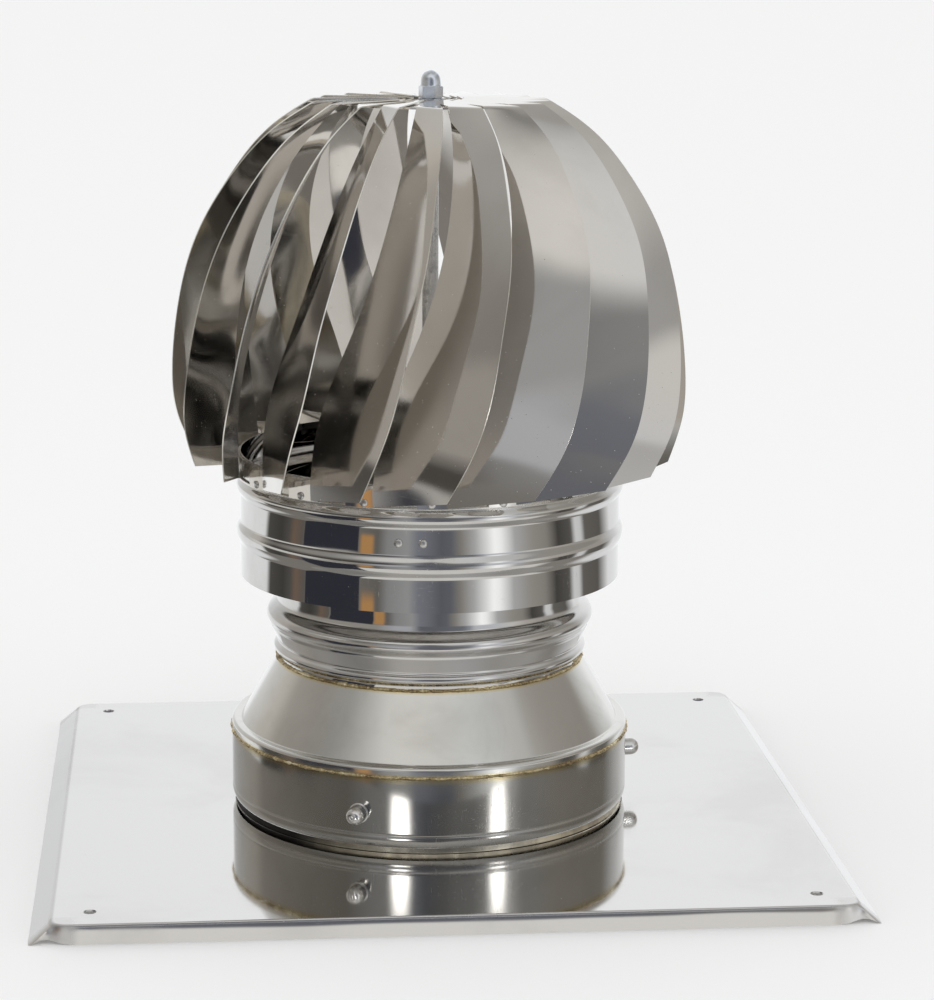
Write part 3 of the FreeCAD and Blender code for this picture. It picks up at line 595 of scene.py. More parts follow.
bladeMetal = polishedSheet(
    "bladeMetal", colour=(0.72, 0.695, 0.66), dull=(0.67, 0.645, 0.61), roughness=0.05,
    cloudScale=16.0, cloudRoughness=0.05, waveScale=14.0,
    waveHeight=0.00004, grainHeight=0.0000002,
    speckScale=430.0, speckShare=0.08, speckSize=0.14, speckLow=0.26, deepGlow=0.08,
    deepBlur=0.34, rolled=((150.0, 232.0, 14.0, 0.035),),
)
ringMetal = workedSteel("ringMetal", (0.72, 0.70, 0.66), 0.24, 500.0, (0.6, 0.58, 0.54))
cutEdge = workedSteel("cutEdge", (0.90, 0.88, 0.82), 0.28, 900.0, (0.82, 0.79, 0.72))
weldBead = weldMetal("weldBead")
# the spigot's foot: straw-gold heat tint, with a painted shadow on one stretch of turns
footMetal = scorchedAndShadedSheet("footMetal")
turnedSteel = workedSteel("turnedSteel", (0.62, 0.62, 0.62), 0.24, 900.0, (0.5, 0.5, 0.5))
bracketSteel = workedSteel("bracketSteel", (0.56, 0.56, 0.55), 0.36, 300.0, (0.46, 0.46, 0.45),
                           stretch=(8.0, 1.0, 1.0))
rivetSteel = workedSteel("rivetSteel", (0.66, 0.655, 0.64), 0.3, 600.0, (0.5, 0.5, 0.48))
screwSteel = workedSteel("screwSteel", (0.74, 0.73, 0.71), 0.16, 500.0, (0.6, 0.59, 0.57))
bearingSteel = workedSteel("bearingSteel", (0.75, 0.75, 0.76), 0.08, 700.0, (0.66, 0.66, 0.67))
zincPlate = workedSteel("zincPlate", (0.78, 0.82, 0.88), 0.2, 500.0, (0.66, 0.70, 0.78))
print("materials made")


# Base plate

plate = {
    "side": 184.9, "flare": 11.0, "wall": 0.8, "drop": 9.7, "bend": 1.1, "bendSteps": 6,
    "fixing": 168.0, "hole": 3.1, "flueHole": 99.2, "cut": (-20.0, 30.0),  # the cutters' two ends
    "flatCorner": 7.0, "edgeSteps": 28, "cornerSteps": 10, "slopeSteps": (0.35, 0.7, 1.0),
    "waviness": 0.25, "waveScale": 0.02, "sharpness": 30.0,
    # the free edge round one corner, from the front flange to the flared side, (x, y, z)
    "cornerEdge": (
        (173.0, 184.9, 0.0), (179.0, 184.6, 0.3), (185.0, 183.4, 1.9), (190.0, 183.0, 1.9),
        (195.0, 184.7, 0.2), (195.9, 180.5, 0.0), (195.9, 173.0, 0.0),
    ),
}


def cutAway(target, tool):
    modifier = target.modifiers.new("shape", "BOOLEAN")
    modifier.object = tool
    modifier.operation = "DIFFERENCE"
    modifier.solver = "EXACT"
    graph = bpy.context.evaluated_depsgraph_get()
    target.data = bpy.data.meshes.new_from_object(target.evaluated_get(graph))
    target.modifiers.remove(modifier)
    bpy.data.objects.remove(tool)


def rod(name, x, y, radius, low, high, segments=48):
    outline = [(math.cos(2 * math.pi * i / segments), math.sin(2 * math.pi * i / segments))
               for i in range(segments)]
    vertices = [((x + radius * c) * mm, (y + radius * s) * mm, z * mm)
                for z in (low, high) for c, s in outline]
    faces = [tuple(range(segments)), tuple(range(segments, 2 * segments))[::-1]]
    faces += [(i, (i + 1) % segments, (i + 1) % segments + segments, i + segments)
              for i in range(segments)]
    return meshPiece(name, vertices, faces)


def plateQuarter():
    # Points of the fold (x, y) and of the free edge, from the front's middle to the right side's
    side, flare, steps = plate["side"], plate["flare"], plate["edgeSteps"]
    corner, cornerSteps = plate["flatCorner"], plate["cornerSteps"]
    start = plate["cornerEdge"][0][0]
    end = plate["cornerEdge"][-1][1]
    rows = []
    for step in range(steps):
        x = start * step / steps
        rows.append(((x, side), (x, side, 0.0)))
    centre = side - corner
    for step, tip in enumerate(smoothThrough(plate["cornerEdge"], cornerSteps + 1)):
        turn = math.pi / 2 * step / cornerSteps
        rows.append(((centre + corner * math.sin(turn), centre + corner * math.cos(turn)), tip))
    for step in range(1, steps):
        y = end * (1 - step / steps)
        rows.append(((side, y), (side + flare, y, 0.0)))
    return rows


def plateEdge():
    # The quarter, mirrored round to the whole plate
    quarter = plateQuarter()
    rows = []
    for signX, signY, forward in ((1, -1, True), (1, 1, False), (-1, 1, True), (-1, -1, False)):
        for fold, tip in quarter if forward else quarter[:0:-1]:
            rows.append((np.array([fold[0] * signX, fold[1] * signY, plate["drop"]]),
                         np.array([tip[0] * signX, tip[1] * signY, max(tip[2], 0.0)])))
    return rows


def plateSection(fold, tip):
    # One line of the top side, over the rounded fold and down to the free edge
    bend, waviness = plate["bend"], plate["waviness"]
    way = (tip - fold) / np.linalg.norm(tip - fold)
    outward = np.array([fold[0], fold[1], 0.0])
    past = np.clip(np.abs(outward) - plate["side"] + plate["flatCorner"], 0.0, None)
    outward = np.sign(outward) * past
    outward /= np.linalg.norm(outward)
    start = fold - outward * bend
    after = fold + way * bend
    line = []
    for t in np.linspace(0, 1, plate["bendSteps"] + 1):
        line.append(start * (1 - t) ** 2 + fold * 2 * t * (1 - t) + after * t ** 2)
    wave = noise.noise(Vector(tip * plate["waveScale"])) * waviness
    tip = tip - outward * (waviness + wave)
    return line + [after * (1 - t) + tip * t for t in plate["slopeSteps"]]


def plateSheet():
    # The top side, the side below it and the edge between them, without the holes
    top = np.array([plateSection(fold, tip) for fold, tip in plateEdge()])
    along = np.roll(top, -1, axis=0) - np.roll(top, 1, axis=0)
    normal = np.cross(np.gradient(top, axis=1), along)
    normal /= np.linalg.norm(normal, axis=2, keepdims=True)
    normal[:, 0] = (0.0, 0.0, 1.0)
    under = top - normal * plate["wall"]
    under[:, -1, 2] = top[:, -1, 2]
    count, points = top.shape[:2]
    shift = count * points
    faces = [tuple(i * points for i in range(count)),
             tuple(i * points + shift for i in range(count))[::-1]]
    for i in range(count):
        a, b = i * points, (i + 1) % count * points
        for j in range(points - 1):
            faces.append((a + j, a + j + 1, b + j + 1, b + j))
            faces.append((a + j + shift, b + j + shift, b + j + 1 + shift, a + j + 1 + shift))
        a, b = a + points - 1, b + points - 1
        faces.append((a, a + shift, b + shift, b))
    vertices = np.concatenate([top.reshape(-1, 3), under.reshape(-1, 3)]) * mm
    return meshPiece("base_plate_sheet", vertices, faces)


def makePlate():
    sheet = plateSheet()
    cutAway(sheet, rod("flueHole", 0, 0, plate["flueHole"], *plate["cut"], 180))
    for x in (-plate["fixing"], plate["fixing"]):
        for y in (-plate["fixing"], plate["fixing"]):
            cutAway(sheet, rod("fixingHole", x, y, plate["hole"], *plate["cut"]))
    sheet.data.shade_smooth()
    sheet.data.set_sharp_from_angle(angle=math.radians(plate["sharpness"]))
    for face in sheet.data.polygons:
        if abs(face.normal.z) > 0.99999:  # the level faces
            face.use_smooth = False
    addShown(sheet, "root", "plate_sheet", plateMetal, "base_plate")


makePlate()
print("plate made")


# Spigot, collar, cone and neck

tubes = {
    "wall": 0.6,
    # the spigot's outer side from the bottom up, with heights above the plate
    "spigot": ((98.6, 0.0), (97.9, 0.35), (97.6, 1.0), (97.6, 7.0), (97.9, 9.0), (99.5, 13.0),
               (99.8, 15.0), (99.8, 33.0)),
    # the collar's turned-in foot starts below its nominal foot; its groove is foot, height, rise
    "collarRadius": 100.5, "turnedIn": 1.7, "turnedFrom": -0.4, "turnedHeight": 4.4,
    "turnedSteps": 8, "groove": (18.3, 1.4, -0.22), "grooveSteps": 10, "grooveEnd": 1.0,
    "collarEnd": -0.3,
    "coneFoot": 0.05, "rim": 1.92, "rimReach": 0.02, "ledge": 95.5, "ledgeRound": 1.0,
    "neckRadius": 77.0,
    # beads on the neck: foot above the cone, height, rise; the waist widens from one to the other
    "smallBead": (2.0, 6.8, 2.0), "largeBead": (16.6, 13.4, 3.7), "waist": 3.2,
    "waistSteps": (0.1, 0.35, 0.65, 0.9), "straightFrom": 34.0,
}


def makeSpigot():
    outer = [(radius, plateTop + height) for radius, height in tubes["spigot"]]
    spigot = spun("spigot_ring", walled(outer, tubes["wall"]))
    addShown(spigot, "root", "collar_sheet", footMetal, "plate_spigot")


def makeCollar():
    radius = tubes["collarRadius"]
    start, width, rise = tubes["groove"]
    foot = collarFoot + tubes["turnedFrom"]
    outer = [(radius - tubes["turnedIn"] * (1 - t) ** 2, foot + tubes["turnedHeight"] * t)
             for t in np.linspace(0, 1, tubes["turnedSteps"])]
    outer += bead(radius, start, width, rise, tubes["grooveSteps"])
    outer += [(radius, start + width + tubes["grooveEnd"]), (radius, collarTop + tubes["collarEnd"])]
    collar = spun("collar_band", walled(outer, tubes["wall"]))
    addShown(collar, "root", "collar_sheet", collarMetal, "base_collar")


def makeCone():
    radius = tubes["collarRadius"]
    outer = rounded([
        (radius, collarTop + tubes["coneFoot"]),
        (radius + tubes["rimReach"], ledgeHeight, tubes["rim"]),
        (tubes["ledge"], ledgeHeight, tubes["ledgeRound"]), (tubes["neckRadius"], coneTop),
    ], 8)
    cone = spun("cone_shell", walled(outer, tubes["wall"]))
    addShown(cone, "root", "collar_sheet", coneMetal, "reducer_cone")


def makeNeck():
    radius, waist = tubes["neckRadius"], tubes["waist"]
    start, height, rise = tubes["smallBead"]
    low = coneTop + start + height
    outer = [(radius, coneTop), *bead(radius, coneTop + start, height, rise)]
    start, height, rise = tubes["largeBead"]
    high = coneTop + start
    outer += [(radius + waist * t, low * (1 - t) + high * t) for t in tubes["waistSteps"]]
    large = bead(radius, high, height, rise)
    outer += [(point[0] + waist * (1 - t), point[1])
              for point, t in zip(large, np.linspace(0, 1, len(large)))]
    outer += [(radius, coneTop + tubes["straightFrom"]), (radius, neckTop)]
    neck = spun("neck_tube", walled(outer, tubes["wall"]))
    addShown(neck, "root", "neck_sheet", neckMetal, "neck_pipe")


makeSpigot()
makeCollar()
makeCone()
makeNeck()
print("tubes made")


# Weld seams

welds = {
    "neck": {"radius": 77.2, "height": 85.5, "bead": 0.9, "ripple": 0.25},
    "rim": {"radius": 100.15, "height": 48.3, "bead": 1.05, "ripple": 0.2},
}
weldShape = {
    "flatness": 0.8, "points": 10, "segments": 900,
    # the lumps follow noise along a circle of this radius: scale and share of each kind
    "circle": 30.0, "lumps": ((2.2, 0.6), (0.35, 0.5)), "driftScale": 0.6,
}


def weldSwell(spot):
    swell = 1.0
    for scale, share in weldShape["lumps"]:
        swell += noise.noise(spot * scale) * share
    return swell


def makeWelds():
    circle = weldShape["circle"]
    for name, seam in welds.items():
        radius, height = seam["radius"], seam["height"]
        upright = seam["bead"] * weldShape["flatness"]
        outline = [(radius + seam["bead"] * math.cos(t), height + upright * math.sin(t))
                   for t in np.linspace(0, 2 * math.pi, weldShape["points"], endpoint=False)]

        def lumpy(out, up, turn, seam=seam):
            spot = Vector((math.sin(turn) * circle, math.cos(turn) * circle, seam["height"]))
            swell = weldSwell(spot)
            drift = noise.noise(spot * weldShape["driftScale"] + Vector((7, 7, 7)))
            drift *= seam["ripple"]
            return (seam["radius"] + (out - seam["radius"]) * swell,
                    seam["height"] + (up - seam["height"]) * swell + drift)

        ring = spun(f"{name}_weld", outline, weldShape["segments"], uneven=lumpy)
        addShown(ring, "root", "collar_sheet", weldBead)


makeWelds()
print("welds made")


# Collar screws

screw = {
    "count": 3, "firstTurn": -24.0, "height": 29.7, "seat": 100.6,
    # the outline as (radius, distance from the seat); the crown is a round stretch given as
    # inner radius, outer radius, foot, rise and steps
    "shank": ((0, -1.35), (2.0, -1.35), (2.0, 0.0)),
    "head": ((5.0, 0.0), (5.0, 0.9), (4.5, 1.2), (4.5, 5.6)),
    "crown": (1.3, 4.5, 5.6, 4.2, 8),
    "socket": ((1.1, 9.6), (1.1, 8.4), (0, 7.9)),
}


def makeScrews():
    inner, outer, foot, rise, steps = screw["crown"]
    outline = [*screw["shank"], *screw["head"]]
    for step in range(1, steps + 1):
        turn = math.pi / 2 * step / steps
        outline.append((inner + (outer - inner) * math.cos(turn), foot + rise * math.sin(turn)))
    outline = [(across, screw["seat"] + out) for across, out in (*outline, *screw["socket"])]
    source = latheAlongFront("screw", outline, screw["height"])
    ring = ringPiece("collar_screw_set", piece=source, count=screw["count"],
                     firstTurn=math.radians(screw["firstTurn"]), step=2 * math.pi / screw["count"],
                     unevenness=0.0, seed=1, finish=screwSteel)
    addShown(ring, "root", "screw_steel", None, "collar_screws")


makeScrews()
print("screws made")


# Skirt, its ring and seam rivets

skirt = {
    "radius": 95.4, "wall": 0.6, "lowBead": (16.0, 12.4, 1.8), "highBead": (40.6, 9.6, 1.8),
    "straightFoot": 1.0, "straightTop": 2.0,
    "ringInner": 95.5, "ringWall": 0.8, "ringRadius": 97.4, "ringHeight": 1.6, "ringLeg": 11.0,
    "ringRound": 0.5,
    # the rivets' shank as (radius, distance from the skirt); their head's radius, seat, rise,
    # first angle in radians and points
    "rivetHeight": 34.0, "rivetTurn": -13.5, "rivetStep": 7.1,
    "rivetShank": ((0, -1.6), (1.9, -1.6), (1.9, -0.7), (0.9, -0.7), (0.9, 0.1), (2.1, 0.1),
                   (2.1, 0.3)),
    "rivetHead": (2.0, 0.3, 0.75, 0.15, 8),
}


def makeSkirt():
    radius = skirt["radius"]
    outer = [(radius, skirtFoot), (radius, skirtFoot + skirt["straightFoot"])]
    for start, height, rise in (skirt["lowBead"], skirt["highBead"]):
        outer += bead(radius, skirtFoot + start, height, rise)
    outer += [(radius, skirtTop - skirt["straightTop"]), (radius, skirtTop)]
    band = spun("skirt_band", walled(outer, skirt["wall"]))
    addShown(band, "rotor", "skirt_sheet", skirtMetal, "rotor_skirt")


def makeRing():
    inner, outer, soft = skirt["ringInner"], skirt["ringRadius"], skirt["ringRound"]
    leg = inner + skirt["ringWall"]
    low, high, top = ringHeight, ringHeight + skirt["ringHeight"], ringHeight + skirt["ringLeg"]
    angle = spun("ring_angle", rounded([
        (inner, low), (outer, low, soft), (outer, high, soft), (leg, high), (leg, top), (inner, top),
    ], 4))
    addShown(angle, "rotor", "blade_sheet", ringMetal, "lower_ring")


def makeSeamRivets():
    outline = rivetOutline(skirt["radius"], skirt["rivetShank"], skirt["rivetHead"])
    source = latheAlongFront("rivet", outline, skirtFoot + skirt["rivetHeight"])
    rivets = ringPiece("seam_rivet_pair", piece=source, count=2, unevenness=0.0, seed=2,
                       firstTurn=math.radians(skirt["rivetTurn"]),
                       step=math.radians(skirt["rivetStep"]), finish=rivetSteel)
    addShown(rivets, "rotor", "rivet_steel", None, "skirt_rivets")


makeSkirt()
makeRing()
makeSeamRivets()
print("skirt made")


# Blades

blade = {
    "count": 18, "wall": 0.6, "seed": 11, "unevenness": 0.006,
    # height above the hem, outer radius, outer turn, inner radius, inner turn
    "levels": (
        (0.0, 119.5, -16.1, 97.6, -36.3),
        (20.5, 126.8, -11.2, 99.0, -33.9),
        (41.0, 128.3, -7.9, 98.4, -30.5),
        (76.5, 125.0, -4.4, 95.8, -22.0),
        (111.5, 116.0, -1.0, 89.3, -15.5),
        (141.5, 99.0, 1.2, 76.4, -11.8),
        (162.5, 80.5, 3.2, 61.4, -9.8),
        (176.9, 59.0, 5.1, 46.9, -8.8),
    ),
    "rows": 64, "columns": 8, "sharpness": 50.0,
    # the fold starts this share of a row before the crown and ends this far along the petal
    "bendBack": 0.5, "bend": 1.6, "bendSteps": 4,
    "belly": 0.5, "bellyReach": 1.1,  # above 1 the belly fades out before the petal
    "hemDrop": (1.5, 8.0), "dropReach": 26.0,  # how far the hem's two ends hang below the first level
    "petalEnd": 17.0, "petalSpread": 5.0, "petalLift": (0.9, -0.2),
    # the lip at the hem's inner end lies along the ring
    "lipRadius": 98.0, "lipTurns": (-35.4, -43.8), "lipHeights": (179.9, 190.5), "lipTaper": 3.0,
    "lipWall": 0.54, "lipGrid": (7, 4),
}
footRivet = {
    "turn": -39.2, "height": 181.9, "segments": 24, "seed": 5, "unevenness": 0.01,
    "shank": ((0, -0.4), (1.9, -0.4), (1.9, 0.2)), "head": (1.9, 0.2, 0.7, 0.2, 7),
}


def bladeColumn(share, outer, inner):
    # One line of the sheet from its hem to the petal's end, with a rounded fold
    strip = outer * (1 - share) + inner * share
    lowered = np.clip(1 - (strip[:, 2] - hemHeight) / blade["dropReach"], 0, None)
    outerDrop, innerDrop = blade["hemDrop"]
    strip[:, 2] -= (outerDrop * (1 - share) + innerDrop * share) * lowered ** 2
    crown, _, outerTurn, _, innerTurn = blade["levels"][-1]
    outerLift, innerLift = blade["petalLift"]
    top = hemHeight + crown
    first = polar(blade["petalEnd"], outerTurn + blade["petalSpread"], top + outerLift)
    last = polar(blade["petalEnd"], innerTurn - blade["petalSpread"], top + innerLift)
    petal = first * (1 - share) + last * share
    fold = strip[-1]
    before, after = strip[-2] - fold, petal - fold
    start = fold + before * blade["bendBack"]
    end = fold + after / np.linalg.norm(after) * blade["bend"]
    bend = [start * (1 - t) ** 2 + fold * 2 * t * (1 - t) + end * t ** 2
            for t in np.linspace(0, 1, blade["bendSteps"] + 1)]
    return np.array([*strip[:-1], *bend, petal])


def bladeLip():
    # The inner corner, curved along the ring below the neighbour's hem
    columns, rows = blade["lipGrid"]
    low, high = blade["lipHeights"]
    grid = []
    for t in np.linspace(0, 1, columns):
        turn = blade["lipTurns"][0] * (1 - t) + blade["lipTurns"][1] * t
        heights = np.linspace(low, high - blade["lipTaper"] * t, rows)
        grid.append([polar(blade["lipRadius"], turn, height) for height in heights])
    return np.array(grid)


def thickened(grid, wall, swell=None):
    # A grid of points as a closed sheet: its points, its broad faces and its cut edges' faces
    columns, rows = grid.shape[:2]
    normal = np.cross(np.gradient(grid, axis=0), np.gradient(grid, axis=1))
    normal /= np.linalg.norm(normal, axis=2, keepdims=True)
    if swell is not None:
        grid = grid - normal * swell[:, :, None]
    back = grid + normal * wall
    under = columns * rows
    broad, edges = [], []
    for c in range(columns - 1):
        for r in range(rows - 1):
            a, b = c * rows + r, (c + 1) * rows + r
            broad.append((a, b, b + 1, a + 1))
            broad.append((a + under, a + 1 + under, b + 1 + under, b + under))
    for r in range(rows - 1):
        for c in (0, columns - 1):
            a = c * rows + r
            edges.append((a, a + 1, a + 1 + under, a + under))
    for c in range(columns - 1):
        for r in (0, rows - 1):
            a, b = c * rows + r, (c + 1) * rows + r
            edges.append((a, b, b + under, a + under))
    return np.concatenate([grid.reshape(-1, 3), back.reshape(-1, 3)]), broad, edges


def bladeSheet():
    # One blade with its lip, its cut edges marked for a finish of their own
    outer = smoothThrough([polar(radius, turn, hemHeight + height)
                           for height, radius, turn, _, _ in blade["levels"]], blade["rows"])
    inner = smoothThrough([polar(radius, turn, hemHeight + height)
                           for height, _, _, radius, turn in blade["levels"]], blade["rows"])
    shares = np.linspace(0, 1, blade["columns"] + 1)
    grid = np.array([bladeColumn(share, outer, inner) for share in shares])
    upward = np.clip(np.linspace(0, 1, grid.shape[1]) * blade["bellyReach"], 0, 1)
    swell = np.sin(np.pi * shares)[:, None] * blade["belly"] * np.sin(np.pi * upward)
    points, broad, edges = thickened(grid, blade["wall"], swell)
    lipPoints, lipBroad, lipEdges = thickened(bladeLip(), blade["lipWall"])
    shift = len(points)
    broad += [tuple(i + shift for i in face) for face in lipBroad]
    edges += [tuple(i + shift for i in face) for face in lipEdges]
    vertices = np.concatenate([points, lipPoints]) * mm
    sheet = meshPiece("bladeSheet", vertices, broad + edges, blade["sharpness"])
    mark = sheet.data.attributes.new("cutEdge", "BOOLEAN", "FACE")
    for index in range(len(broad), len(broad) + len(edges)):
        mark.data[index].value = True
    return sheet


def makeBlades():
    count = blade["count"]
    dome = ringPiece("dome_blades", piece=bladeSheet(), count=count, firstTurn=0.0,
                     step=2 * math.pi / count, unevenness=blade["unevenness"], seed=blade["seed"],
                     finish=bladeMetal, edgeFinish=cutEdge)
    names = [f"blade_{number:02d}" for number in range(1, count + 1)]
    addShown(dome, "rotor", "blade_sheet", None, *names)
    print("blades:", len(dome.data.polygons), "faces")


def makeFootRivets():
    outline = rivetOutline(blade["lipRadius"], footRivet["shank"], footRivet["head"])
    source = latheAlongFront("footRivet", outline, footRivet["height"], footRivet["segments"])
    rivets = ringPiece("foot_rivet_set", piece=source, count=blade["count"],
                       firstTurn=math.radians(footRivet["turn"] + front),
                       step=2 * math.pi / blade["count"], unevenness=footRivet["unevenness"],
                       seed=footRivet["seed"], finish=rivetSteel)
    addShown(rivets, "rotor", "rivet_steel", None, "foot_rivets")


makeBlades()
makeFootRivets()


# Cap nut

capNut = {
    "low": 365.55, "flats": 10.6, "hexHeight": 6.1, "turn": 14.0, "chamfer": 30.0,  # degrees
    "chamferInset": 0.1, "chamferSteps": 6, "edgeGap": 0.01,
    "bore": 3.1, "boreDepth": 9.0, "segments": 360,
    # the round cap above the hexagon, (radius, height above the nut's foot)
    "cap": ((5.15, 6.2), (5.05, 6.7), (4.95, 8.6), (4.7, 10.0), (4.2, 11.3), (3.3, 12.4),
            (2.1, 13.15), (1.0, 13.5), (0.45, 13.66), (0.0, 13.7)),
}


def makeCapNut():
    # A turned outline with both ends chamfered, cut back to the six flats as it is spun
    low, height, inset = capNut["low"], capNut["hexHeight"], capNut["chamferInset"]
    half = capNut["flats"] / 2
    corner = half / math.cos(math.radians(30))
    slope = math.tan(math.radians(capNut["chamfer"]))
    start, reach = half - inset, corner - half + inset
    outline = [(capNut["bore"], 0.0), (start, 0.0)]
    outline += [(start + t, t * slope) for t in np.linspace(inset, reach, capNut["chamferSteps"])]
    outline += [(corner, height - reach * slope - capNut["edgeGap"])]
    outline += [(corner - t, height - (reach - t) * slope)
                for t in np.linspace(0.0, reach, capNut["chamferSteps"])]
    outline += [*capNut["cap"], (0.0, capNut["boreDepth"]), (capNut["bore"], capNut["boreDepth"])]
    top = height + capNut["edgeGap"]

    def hexed(radius, z, turn):
        away = (math.degrees(turn) - capNut["turn"]) % 60 - 30
        flat = half / math.cos(math.radians(away))
        return (min(radius, flat) if z - low <= top else radius), z

    nut = spun("cap_nut_shell", [(radius, low + z) for radius, z in outline], capNut["segments"],
               uneven=hexed)
    addShown(nut, "rotor", "nut_zinc", zincPlate, "cap_nut")


makeCapNut()
print("cap nut made")


# Finishes of the pieces that keep their own shape

keptFinishes = {
    "top_disc": bladeMetal, "spindle": turnedSteel, "shoulder_washer": turnedSteel,
    "bearing_spacer": turnedSteel, "top_washer": zincPlate, "end_washer": zincPlate,
    "end_nut": zincPlate, "upper_bracket": bracketSteel, "lower_bracket": bracketSteel,
    "bearing_tube": bracketSteel, "bracket_rivets": rivetSteel,
    "lower_bearing_outer": bearingSteel, "upper_bearing_outer": bearingSteel,
    "lower_bearing_inner": bearingSteel, "upper_bearing_inner": bearingSteel,
    "lower_bearing_balls": bearingSteel, "upper_bearing_balls": bearingSteel,
}
for name, material in keptFinishes.items():
    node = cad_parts[name]
    node.data.materials.clear()
    node.data.materials.append(material)


# Floor, studio and camera

studio = {
    "floorHalf": 20.0,  # metres
    "floorColour": (0.93, 0.93, 0.93),
    "floorRoughness": 0.9,
    "seenDirectly": (1.0, 1.0, 1.0),
    "onFloor": (1.04, 1.04, 1.04),
    # what the sheets mirror: turn from the camera's side in degrees, brightness, tint
    "lowWall": (
        (-180, 1.05, "white"), (-117, 0.98, "white"), (-113, 0.10, "brown"), (-100, 0.07, "brown"),
        (-93, 0.11, "brown"), (-89, 0.17, "rust"), (-81, 0.14, "brown"), (-77, 0.50, "cream"),
        (-50, 0.46, "cream"), (-43, 0.20, "brown"), (-31, 0.17, "brown"), (-25, 0.32, "white"),
        (-13, 0.40, "white"), (-7, 0.26, "blue"), (0, 0.21, "blue"), (7, 0.15, "blue"),
        (13, 0.17, "blue"), (19, 0.31, "brown"), (27, 0.56, "white"), (34, 1.0, "white"),
        (39, 1.38, "white"), (43, 1.28, "white"), (52, 0.56, "white"), (64, 0.39, "brown"),
        (74, 0.33, "brown"), (83, 0.08, "brown"), (94, 0.13, "brown"), (98, 0.85, "white"),
        (103, 0.80, "white"), (107, 0.17, "brown"), (124, 0.14, "brown"), (139, 0.98, "white"),
    ),
    "midWall": (
        (-180, 1.05, "white"), (-168, 1.0, "white"), (-158, 0.80, "white"), (-122, 0.60, "brown"),
        (-112, 0.42, "brown"), (-74, 0.38, "brown"), (-50, 0.37, "brown"), (-40, 0.36, "brown"),
        (-30, 0.46, "sky"), (-25, 0.52, "sky"), (-14, 0.52, "sky"), (-10, 0.34, "sky"),
        (-7, 0.16, "blue"), (8, 0.17, "blue"), (25, 0.21, "blue"), (30, 0.38, "blue"),
        (34, 0.68, "sky"), (50, 0.70, "sky"), (64, 0.74, "cream"), (76, 0.56, "brown"),
        (100, 0.45, "brown"), (122, 0.45, "brown"), (137, 0.78, "white"), (152, 1.04, "white"),
    ),
    "highWall": (
        (-180, 1.05, "white"), (-168, 1.0, "white"), (-158, 0.70, "white"), (-122, 0.60, "brown"),
        (-112, 0.42, "brown"), (-78, 0.33, "brown"), (-64, 0.27, "brown"), (-48, 0.24, "brown"),
        (-36, 0.34, "white"), (-26, 0.40, "white"), (-14, 0.40, "white"), (-8, 0.30, "blue"),
        (-2, 0.17, "blue"), (9, 0.20, "white"), (15, 0.26, "white"), (26, 0.30, "white"),
        (33, 0.50, "white"), (37, 1.10, "white"), (42, 1.30, "white"), (48, 0.85, "white"),
        (55, 0.44, "white"), (80, 0.39, "brown"), (122, 0.34, "brown"), (137, 0.78, "white"),
        (152, 1.04, "white"),
    ),
    "ceiling": (
        (-180, 0.70, "warm"), (-110, 0.54, "warm"), (-84, 0.42, "warm"), (-64, 0.42, "warm"),
        (-50, 0.56, "warm"), (-34, 0.78, "warm"), (-22, 0.83, "warm"), (0, 0.81, "warm"),
        (30, 0.79, "white"), (48, 0.72, "white"), (64, 0.60, "warm"), (110, 0.60, "warm"),
    ),
    # turn, then the rise in degrees where the ceiling begins and where it is full
    "ceilingEdge": (
        (-180, 30, 47), (-95, 30, 47), (-76, 20, 44), (-60, 18, 42), (-42, 28, 36), (-14, 28, 34),
        (-6, 30, 38), (2, 32, 41), (9, 27, 37), (15, 23, 31), (26, 20, 29), (58, 21, 28),
        (76, 28, 45), (180, 30, 47),
    ),
    "ground": (
        (-180, 0.95, "white"), (-136, 0.90, "white"), (-124, 0.26, "brown"), (-74, 0.26, "brown"),
        (-64, 0.84, "cream"), (70, 0.84, "cream"), (80, 0.30, "brown"), (112, 0.30, "brown"),
        (128, 0.92, "white"),
    ),
    "tints": {
        "white": (0.985, 1.0, 1.015), "cream": (1.0, 0.985, 0.95), "brown": (1.0, 0.95, 0.88),
        "rust": (1.25, 0.88, 0.66), "blue": (0.94, 0.99, 1.15), "sky": (0.98, 1.01, 1.08),
        "warm": (1.0, 0.99, 0.965),
    },
    # rises in degrees between which each of them gives way to the next
    "groundEdge": (-21.5, -18.6), "lowEdge": (-6.0, -2.0), "midEdge": (11.0, 15.0),
    "zenith": (42.0, 84.0, 0.72),  # the ceiling dims from one rise to the other, to this share
    # a small warm lamp low on the left: first turn, last turn, lower rise, upper rise, softness
    "orangeLamp": (-41.5, -33.5, -16.0, -5.0, 1.5), "orange": (0.55, 0.30, 0.12),
    # strips close by the blades' hems, seen from nearby only: radius, heights, turns, glow;
    # they fade between the first two and the last two heights and at both ends
    "strips": {
        "hemLight": (206.0, (144.0, 148.0, 169.0, 173.0), (-132.0, -44.0), (0.78, 0.77, 0.74)),
        "hemShade": (206.5, (168.0, 173.0, 190.0, 216.0), (-98.0, -6.0), (0.080, 0.074, 0.068)),
    },
    "stripSteps": 48, "stripFade": 7,  # steps along a strip, and how many of them each end fades
    "stripReach": (0.144, 0.152),  # metres from the sheet, from shown to hidden
    # cards standing before the object: turn, distance, lower and upper end and width in mm,
    # glow, soft share; the lamps show only by way of another sheet, the dark card only directly
    "cards": {
        "lampLeftCard": (-14.8, 564, 70, 250, 190, (9.0, 9.0, 9.0), 0.42),
        "lampRightCard": (36.6, 560, 70, 250, 160, (9.2, 9.3, 9.4), 0.42),
        "darkLeftCard": (-57.3, 600, -420, 88, 389, (0.040, 0.042, 0.056), 0.02),
    },
    "lampFalloff": 3,  # the power that draws a lamp's light to its middle
    "againDepth": (1.1, 1.9),  # glossy depths, between the first mirroring and the second
}

